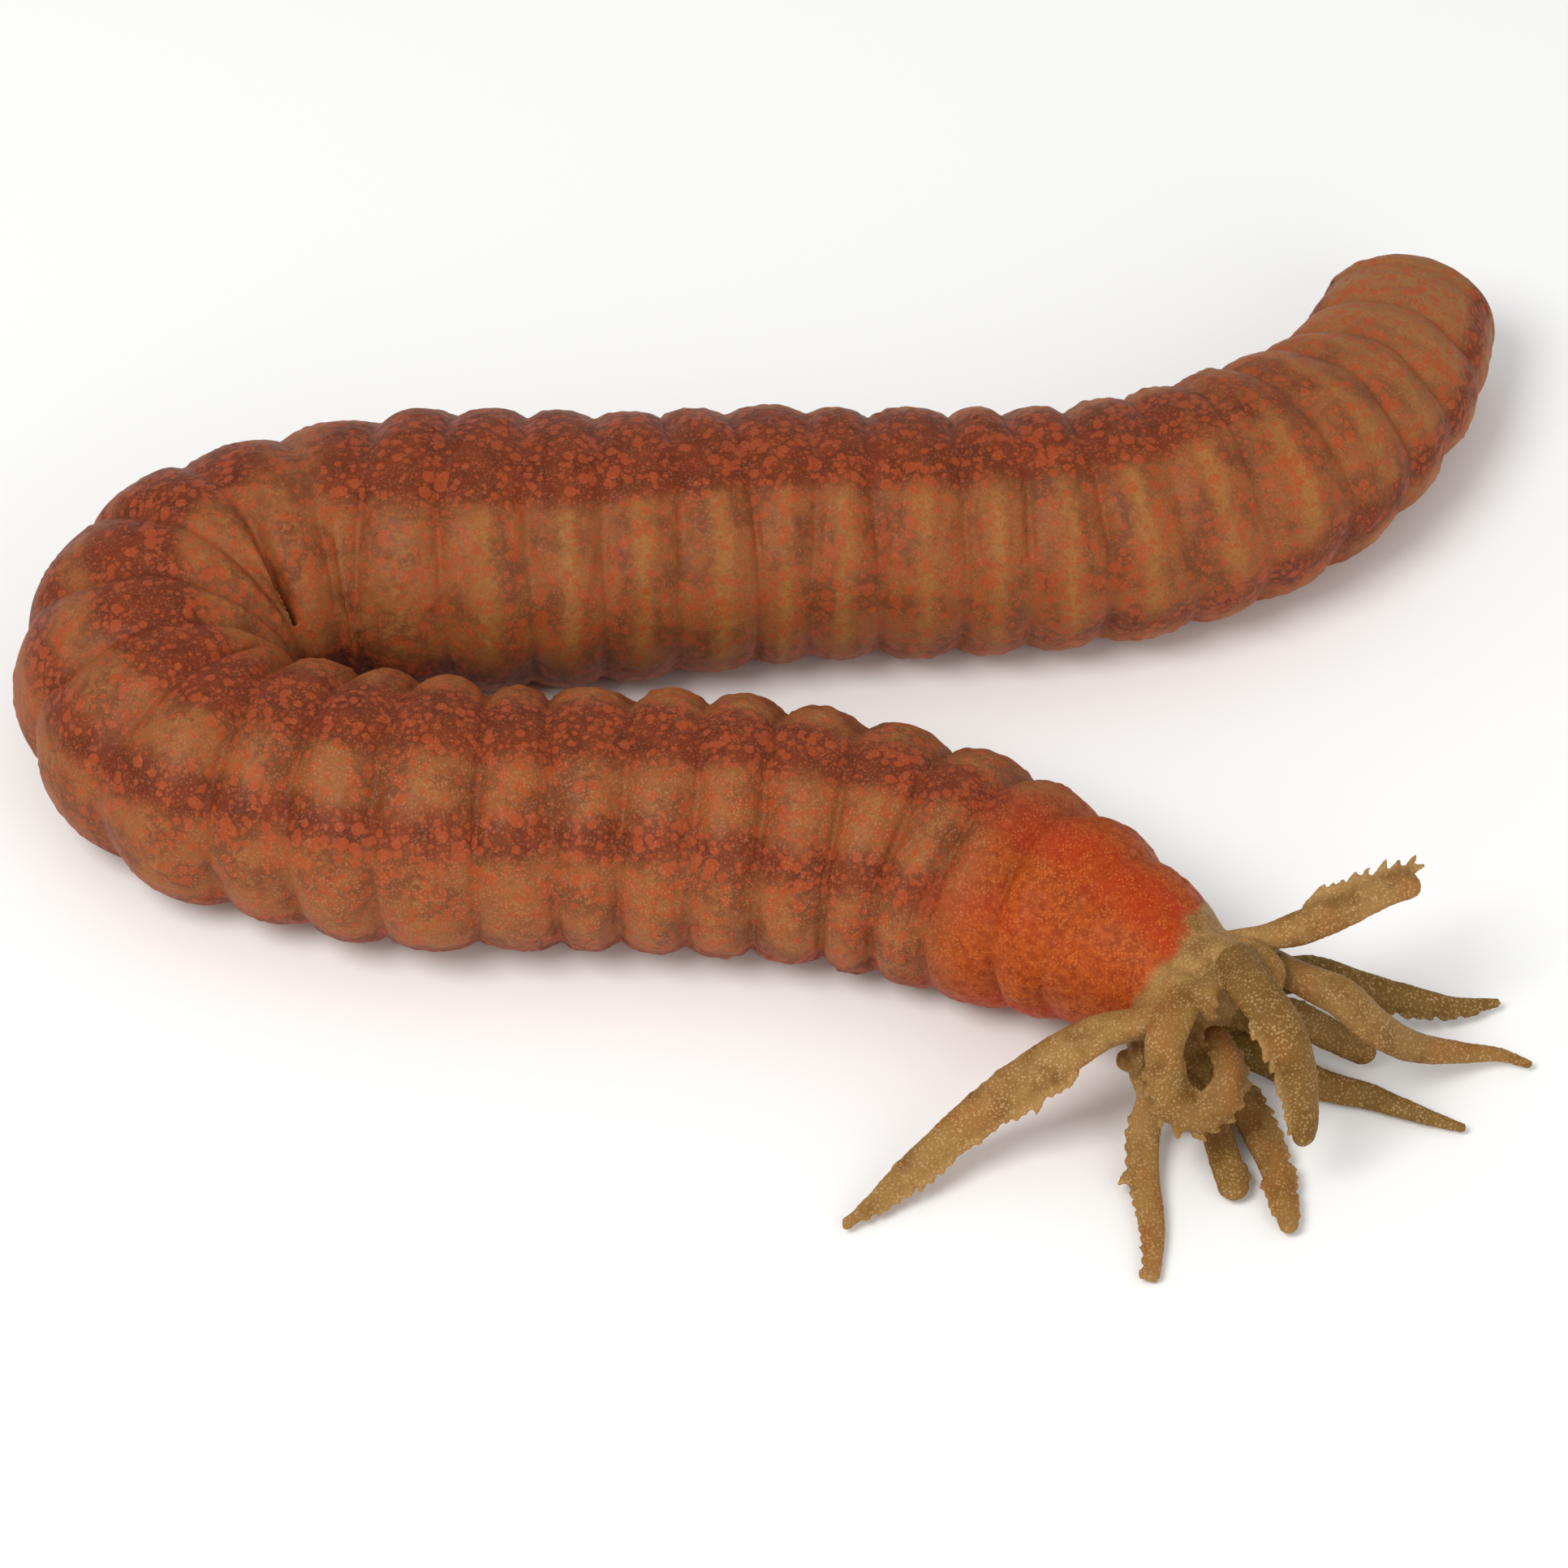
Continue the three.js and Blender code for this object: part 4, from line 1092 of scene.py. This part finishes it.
# %% Numbers stored on the skin
CREST_POWER = 1.7
FURROW_LINE = 0.8
TAIL_FADE = (10, 62)
STREAK_HALF = 1.3
STREAKS_END = (175, 200)
STREAK_LEAST = 0.3
STREAK_NOISE = (8, 77)
WALL_TONE = 0.95
GREENER_ROOT = 0.55
FINGER_LENGTH = 1.2
MOUTH_DEPTH = 4
MOUTH_DARK = (1, 4.5)
BELLY_TURN = (0.2, 0.95)


def of_tentacle(name, elsewhere):
    """A number of the tentacle that a point is on, or another off the tentacles."""
    return np.where(on_strap > 0.5, np.array([row[name] for row in TENTACLES])[tentacle], elsewhere)


# The crests of the bulges and the streaks along them carry painted highlights.
crest = np.where(inside, 1 - np.abs(2 * across - 1) ** CREST_POWER, 1)
streak_highlight = np.exp(-((0.5 - across) * span / STREAK_HALF) ** 2) * inside
streak_highlight = streak_highlight * (1 - smoothstep(along_body, *STREAKS_END))
strap_share = np.array([strap.length for strap in straps])[tentacle]
strap_share = np.clip(along_strap / strap_share, 0, 1) * (on_strap > 0)
# Round the mouth the throat is painted darker, as painted shade in its recess.
in_mouth = smoothstep(along_body, CROWN_AT - MOUTH_DEPTH, CROWN_AT)
in_mouth = in_mouth * (1 - smoothstep(from_axis, *MOUTH_DARK))
numbers = {
    "stripe": stripe,
    "crest": crest * (1 - crown),
    # The furrow lines, where painted shade darkens the skin.
    "furrow": np.exp(-(to_furrow / FURROW_LINE) ** 2) * inside * on_body,
    "neck": neck_here,
    "crown": crown,
    "specks": specks,
    "tail": 1 - smoothstep(along_body, *TAIL_FADE),
    "streak_highlight": streak_highlight * (STREAK_LEAST + (1 - STREAK_LEAST) * noise(place, *STREAK_NOISE)),
    "tone": of_tentacle("tone", WALL_TONE),
    "green": of_tentacle("green", 0.0) * (1 - GREENER_ROOT * strap_share),
    "finger": np.clip(stand_off / FINGER_LENGTH, 0, 1) * (on_strap > 0.5),
    "gullet": in_mouth * (1 - on_strap),
    # The lower side, whose redder colour also paints light into its shade.
    "under": smoothstep(-np.cos(round_body), *BELLY_TURN) * (1 - on_strap),
}
for name, values in numbers.items():
    layer = mesh.attributes.new(name, "FLOAT", "POINT")
    layer.data.foreach_set("value", np.ascontiguousarray(values, np.float32))
mesh.polygons.foreach_set("use_smooth", np.ones(len(mesh.polygons), bool))
mesh.update()
print("numbers stored at each point:", len(numbers))

# %% [markdown]
# Living skin as a material
#
# The wall of a sea cucumber is a thin wet skin over clear jelly. Light goes in a little way and
# comes out soft and warm, so the shader has some subsurface scattering, and a low gloss from the
# film of water. Pigment sits in the skin as soft stripes, round orange spots and pale specks. Each
# of these is a pattern in solid space, so it has no seam, and its scale is worked out from its
# real size.
#
# One function adds every node. Its inputs are given in order or by name, and it gives back one
# output, so a call can stand inside another. Map Range takes a value, the range it comes from and
# the range it goes to, and is always used here as a soft step. Mix takes its factor at input 0 and
# the colours below and above at 6 and 7, and gives the mixed colour at output 2.

# %% Colours and a helper that adds a node
def hex_colour(code):
    """An sRGB colour written as six hex digits, turned to linear light."""
    parts = [int(code[i:i + 2], 16) / 255 for i in (0, 2, 4)]
    return (*[p / 12.92 if p <= 0.04045 else ((p + 0.055) / 1.055) ** 2.4 for p in parts], 1.0)


def in_mm(millimetres):
    """The scale that gives a pattern in metres a cell this many millimetres wide."""
    return 1 / (millimetres * MM)


def add(kind, inputs=(), output=0, **settings):
    """Adds a node, sets it up, fills or links its inputs, and gives back one of its outputs."""
    node = tree.nodes.new("ShaderNode" + kind)
    for name, value in settings.items():
        setattr(node, name, value)
    for socket, value in inputs.items() if isinstance(inputs, dict) else enumerate(inputs):
        if isinstance(value, bpy.types.NodeSocket):
            tree.links.new(value, node.inputs[socket])
        else:
            node.inputs[socket].default_value = value
    return node.outputs[output] if node.outputs else node


material = bpy.data.materials.new("wet_pigmented_skin")
material.use_nodes = True
tree = material.node_tree
tree.nodes.clear()
where = add("TexCoord", output="Object")
layers = {name: add("Attribute", output="Fac", attribute_name=name) for name in numbers}
print("layers that the material reads:", len(layers))

# %% [markdown]
# The wall
#
# Under the stripes the wall is tan with darker clouds. The crests of the bulges are a little paler,
# which is a painted highlight where light falls on them, and towards the tail each carries a
# painted highlight as a pale ochre streak along its middle. The tail is paler. The belly is redder,
# partly its own colour and partly painted light that lifts the shade on the lower side. A fine
# brown grain lies over all. Real skin has its grain in tenths of a millimetre, too fine to show
# here, so it is drawn at about half a millimetre.

# %% The wall: a stack of thin washes, each with the amount that covers
FACTOR, UNDER, OVER, MIXED = 0, 6, 7, 2
SOFT = {"interpolation_type": "SMOOTHSTEP"}
RGBA = {"data_type": "RGBA"}
TAN, DEEP_TAN, CREST_HIGHLIGHT, STREAK_HIGHLIGHT = "8f532a", "754022", "9c6433", "a36d36"
TAIL_TAN, BELLY_RED_AND_PAINTED_LIGHT, GRAIN = "966439", "a04b23", "5f3a20"
mottle = add("TexNoise", {"Vector": where, "Scale": in_mm(7), "Detail": 3})
fine = add("TexNoise", {"Vector": where, "Scale": in_mm(1.3), "Detail": 3, "Roughness": 0.6})
grain = add("TexNoise", {"Vector": where, "Scale": in_mm(0.55), "Detail": 2, "Roughness": 0.7})
clouds = add("MapRange", [mottle, 0.4, 0.62], **SOFT)
# The crests of the bulges get a painted highlight, broken up by fine noise.
high = add("MapRange", [layers["crest"], 0.75, 1], **SOFT)
broken = add("MapRange", [fine, 0.4, 0.7, 0, 0.8], **SOFT)
wall_colour = hex_colour(TAN)
for wash, amount in (
    (DEEP_TAN, clouds),
    (CREST_HIGHLIGHT, add("Math", [high, broken], operation="MULTIPLY")),
    (STREAK_HIGHLIGHT, add("Math", [layers["streak_highlight"], 0.75], operation="MULTIPLY")),
    (TAIL_TAN, add("Math", [layers["tail"], 0.7], operation="MULTIPLY")),
    # The lower side is redder, partly its own colour and partly painted light that lifts its shade.
    (BELLY_RED_AND_PAINTED_LIGHT, add("Math", [layers["under"], 0.5], operation="MULTIPLY")),
    (GRAIN, add("MapRange", [grain, 0.5, 0.75, 0, 0.45], **SOFT)),
):
    wall_colour = add("Mix", {FACTOR: amount, UNDER: wall_colour, OVER: hex_colour(wash)}, MIXED, **RGBA)
print("nodes for the wall:", len(tree.nodes))

# %% [markdown]
# The neck and the stripes
#
# The neck is orange, with red patches where the stripes run on over it. Its edge is broken up by
# the same clouds as the wall, so that orange fades into tan without a line. The stripes over the
# muscle bands are a dark red brown with ragged edges, and redder and fainter on the neck.

# %% The neck: orange with red patches
ORANGE, DEEP_ORANGE, RED = "ab490d", "8c3305", "a82604"
patches = add("TexNoise", {"Vector": where, "Scale": in_mm(9), "Detail": 3})
patched = add("MapRange", [patches, 0.3, 0.6], **SOFT)
striped = add("MapRange", [layers["stripe"], 0.4, 0.8], **SOFT)
red_here = add("Math", [patched, striped], operation="MULTIPLY")
neck_colour = hex_colour(ORANGE)
for wash, amount in (
    (DEEP_ORANGE, add("MapRange", [fine, 0.35, 0.65], **SOFT)),
    (RED, add("Math", [red_here, 0.6], operation="MULTIPLY")),
):
    neck_colour = add("Mix", {FACTOR: amount, UNDER: neck_colour, OVER: hex_colour(wash)}, MIXED, **RGBA)
cloudy = add("Math", [mottle, 0.6, -0.3], operation="MULTIPLY_ADD")
neck_edge = add("Math", [layers["neck"], cloudy], operation="ADD")
neck_amount = add("MapRange", [neck_edge, 0.15, 0.95, 0, 0.92], **SOFT)
wall_colour = add("Mix", {FACTOR: neck_amount, UNDER: wall_colour, OVER: neck_colour}, MIXED, **RGBA)
print("nodes with the neck:", len(tree.nodes))

# %% Dark stripes over the muscle bands
STRIPE, STRIPE_DEEP, NECK_STRIPE = "6f280f", "5c200b", "a52a0a"
frayed = add("TexNoise", {"Vector": where, "Scale": in_mm(2.6), "Detail": 4, "Roughness": 0.65})
frayed = add("Math", [frayed, 0.9, -0.45], operation="MULTIPLY_ADD")
ragged = add("Math", [layers["stripe"], frayed], operation="ADD")
depths = add("TexNoise", {"Vector": where, "Scale": in_mm(4), "Detail": 3})
stripe_colour = hex_colour(STRIPE)
for wash, amount in (
    (STRIPE_DEEP, add("MapRange", [depths, 0.4, 0.65], **SOFT)),
    (NECK_STRIPE, layers["neck"]),
):
    stripe_colour = add("Mix", {FACTOR: amount, UNDER: stripe_colour, OVER: hex_colour(wash)}, MIXED, **RGBA)
fainter = add("Math", [layers["neck"], -0.45, 0.88], operation="MULTIPLY_ADD")
ragged = add("MapRange", [ragged, 0.2, 0.9], **SOFT)
stripe_amount = add("Math", [ragged, fainter], operation="MULTIPLY")
wall_colour = add("Mix", {FACTOR: stripe_amount, UNDER: wall_colour, OVER: stripe_colour}, MIXED, **RGBA)
print("nodes with the stripes:", len(tree.nodes))

# %% [markdown]
# Spots
#
# Round orange spots lie over wall and stripes alike, the largest 2.3 mm across. A grid of spots
# would show as a pattern. The cells of a Voronoi texture have their middles at random, and each
# cell has a random colour, which serves here as the chance that decides how wide its spot is.
# Three sizes of cell lie over each other.

# %% Round spots in three sizes: spacing in mm, least and further radius as shares, and strength
SPOT = "a44621"
SPOT_EDGE = (-0.03, 0.05)
SPOT_SIZES = [(2.2, 0.18, 0.34, 0.66), (1.6, 0.14, 0.34, 0.62), (0.95, 0.1, 0.32, 0.55)]
crowding = add("MapRange", [patches, 0.34, 0.58, 0.72, 1.05], **SOFT)
spots = None
for spacing, least, further, strength in SPOT_SIZES:
    from_middle = add("TexVoronoi", {"Vector": where, "Scale": in_mm(spacing)}, "Distance", feature="F1")
    chance_here = add("SeparateColor", [from_middle.node.outputs["Color"]])
    wide = add("Math", [chance_here, further, least], operation="MULTIPLY_ADD")
    wide = add("Math", [wide, crowding], operation="MULTIPLY")
    within = add("Math", [wide, from_middle], operation="SUBTRACT")
    spot = add("MapRange", [within, *SPOT_EDGE, 0, strength], **SOFT)
    spots = spot if spots is None else add("Math", [spots, spot], operation="MAXIMUM")
off_neck = add("Math", [layers["neck"], -0.75, 1], operation="MULTIPLY_ADD")
spot_amount = add("Math", [spots, off_neck], operation="MULTIPLY")
wall_colour = add("Mix", {FACTOR: spot_amount, UNDER: wall_colour, OVER: hex_colour(SPOT)}, MIXED, **RGBA)
print("nodes with the spots:", len(tree.nodes))

# %% [markdown]
# Crown and tentacles
#
# They are an olive tan, each a little different, with umber and reddish clouds. Those that lie far
# down are greener. The pinnules are paler, being thin, and the throat is painted darker, as painted
# shade inside the mouth.

# %% Crown and tentacles: olive tan, greenish where they lie far down
CROWN_TAN, PALE_TAN, UMBER, FOX = "7a5321", "9e7843", "673f12", "945b2a"
GREEN, FINGER_TIP, GULLET_SHADE = "5c4c1c", "a5804c", "6e4524"
umber_clouds = add("TexNoise", {"Vector": where, "Scale": in_mm(5), "Detail": 3})
fox_clouds = add("TexNoise", {"Vector": where, "Scale": in_mm(8), "Detail": 2})
flesh_colour = hex_colour(CROWN_TAN)
for wash, amount in (
    (PALE_TAN, layers["tone"]),
    (UMBER, add("MapRange", [umber_clouds, 0.45, 0.7, 0, 0.6], **SOFT)),
    (FOX, add("MapRange", [fox_clouds, 0.5, 0.68, 0, 0.55], **SOFT)),
    (GREEN, layers["green"]),
    (FINGER_TIP, add("Math", [layers["finger"], 0.5], operation="MULTIPLY")),
    # Painted shade inside the mouth.
    (GULLET_SHADE, add("Math", [layers["gullet"], 0.8], operation="MULTIPLY")),
):
    flesh_colour = add("Mix", {FACTOR: amount, UNDER: flesh_colour, OVER: hex_colour(wash)}, MIXED, **RGBA)
skin_colour = add("Mix", {FACTOR: layers["crown"], UNDER: wall_colour, OVER: flesh_colour}, MIXED, **RGBA)
print("nodes with the crown:", len(tree.nodes))

# %% [markdown]
# Specks
#
# The skin holds tiny pale skeleton grains, the ossicles, about a quarter of a millimetre long.
# That is too fine to show in the render, so they are drawn at half a millimetre, thickest on the
# crown and the neck. On the crown and tentacles the palest specks also stand for light caught by
# small papillae, so there they are partly painted glints. The lines of the furrows are painted a
# touch darker, as painted shade in the creases.

# %% Pale specks, partly painted glints, and painted shade in the furrows
SPECK_SPACING = 0.52
SPECK_AND_GLINT, NECK_SPECK, BODY_SPECK, FURROW_SHADE = "c9a877", "cb7836", "b5805a", "5a2a18"
speck_grid = {"Vector": where, "Scale": in_mm(SPECK_SPACING), "Randomness": 0.85}
speck = add("MapRange", [add("TexVoronoi", speck_grid, "Distance", feature="F1"), 0.2, 0.5, 1, 0], **SOFT)
drifts = add("TexNoise", {"Vector": where, "Scale": in_mm(2.2), "Detail": 2})
drifts = add("MapRange", [drifts, 0.3, 0.65, 0.3, 1], **SOFT)
speck_and_glint_amount = add("Math", [speck, drifts], operation="MULTIPLY")
speck_and_glint_amount = add("Math", [speck_and_glint_amount, layers["specks"]], operation="MULTIPLY")
# The furrow lines get a touch of painted shade.
furrow_shade_amount = add("Math", [layers["furrow"], 0.08], operation="MULTIPLY")
speck_and_glint_colour = hex_colour(BODY_SPECK)
# On the crown and tentacles the specks are partly painted glints of light on small papillae.
for wash, amount in ((NECK_SPECK, layers["neck"]), (SPECK_AND_GLINT, layers["crown"])):
    speck_and_glint_colour = add("Mix", {FACTOR: amount, UNDER: speck_and_glint_colour, OVER: hex_colour(wash)}, MIXED, **RGBA)
for wash, amount in ((speck_and_glint_colour, speck_and_glint_amount), (hex_colour(FURROW_SHADE), furrow_shade_amount)):
    skin_colour = add("Mix", {FACTOR: amount, UNDER: skin_colour, OVER: wash}, MIXED, **RGBA)
print("nodes with the specks:", len(tree.nodes))

# %% [markdown]
# Light on wet skin
#
# Wet flesh bends light a little more than water does, so its IOR is 1.4. Red light goes deepest
# into it, blue the least. The film of water is broken up by the skin's own grain, so the gloss is
# soft and uneven, and a slight bump of 0.7 mm grain spreads the highlights.

# %% The shader
SCATTER_DEPTH = 1.6
BUMP_SIZE = 0.7
BUMP_DEPTH = 0.25
bump_grain = add("TexNoise", {"Vector": where, "Scale": in_mm(BUMP_SIZE), "Detail": 3})
shader = add("BsdfPrincipled", {
    "Base Color": skin_colour,
    "Roughness": add("MapRange", [fine, 0.3, 0.7, 0.48, 0.6], **SOFT),
    "IOR": 1.4,
    "Specular IOR Level": 0.2,
    "Subsurface Weight": 0.18,
    "Subsurface Radius": (1.0, 0.45, 0.25),
    "Subsurface Scale": SCATTER_DEPTH * MM,
    "Normal": add("Bump", {"Height": bump_grain, "Strength": 0.22, "Distance": BUMP_DEPTH * MM}),
})
add("OutputMaterial", {"Surface": shader})
mesh.materials.clear()
mesh.materials.append(material)
print("nodes in the skin's material:", len(tree.nodes))

# %% The skin stands for every solid
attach(skin, "root")
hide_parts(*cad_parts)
print("solids that the skin replaces:", len(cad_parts))

# %% [markdown]
# Floor, light and camera
#
# The floor is a wide board in matt white paint. The paint is rough and has no gloss, so it shows
# only soft shadows. One large lamp from the left front models the bulges, and a weaker one from the
# right opens the shadows. The camera looks down at 45 degrees from well back with a long lens,
# which keeps the two limbs of the hairpin in proportion.

# %% Floor
FLOOR_SIDE = 6
bpy.ops.mesh.primitive_plane_add(size=FLOOR_SIDE, location=(0, 0, 0))
floor = bpy.context.object
floor.name = "floor"
paper = bpy.data.materials.new("matt_white_paint")
paper.use_nodes = True
paint = paper.node_tree.nodes["Principled BSDF"]
paint.inputs["Base Color"].default_value = hex_colour("f8f7f4")
paint.inputs["Roughness"].default_value = 0.9
floor.data.materials.append(paper)
print("floor, m wide:", FLOOR_SIDE)


# %% Lights
def soft_lamp(name, place_at, power, size):
    """A round lamp that faces the animal: its place and size in metres, its power in watts."""
    lamp = bpy.data.lights.new(name, "AREA")
    lamp.energy = power
    lamp.shape = "DISK"
    lamp.size = size
    holder = bpy.data.objects.new(name, lamp)
    holder.location = place_at
    holder.rotation_euler = (-Vector(place_at)).to_track_quat("-Z", "Y").to_euler()
    bpy.context.scene.collection.objects.link(holder)


soft_lamp("key_light", (-0.55, -0.55, 1.1), power=10.5, size=0.7)
soft_lamp("fill_light", (0.6, -1.0, 0.55), power=4.2, size=1.0)
world = bpy.data.worlds.new("studio")
world.use_nodes = True
sky = world.node_tree.nodes["Background"].inputs
sky["Color"].default_value = hex_colour("f3f5f7")
sky["Strength"].default_value = 0.65
bpy.context.scene.world = world
bpy.context.scene.view_settings.view_transform = "Standard"
print("lamps:", len(bpy.data.lights))

# %% Camera
TARGET = Vector(ORIGIN_SHIFT) * MM
CAMERA_LIFT = math.radians(45)
CAMERA_AWAY = 1341.67 * MM
camera_data = bpy.data.cameras.new("camera")
camera_data.lens = 200
camera_data.sensor_width = 36
camera = bpy.data.objects.new("camera", camera_data)
back = Vector((0, -math.cos(CAMERA_LIFT), math.sin(CAMERA_LIFT)))
camera.location = TARGET + back * CAMERA_AWAY
camera.rotation_euler = back.to_track_quat("Z", "Y").to_euler()
bpy.context.scene.collection.objects.link(camera)
bpy.context.scene.camera = camera
print("camera, m from its target:", round(CAMERA_AWAY, 3))
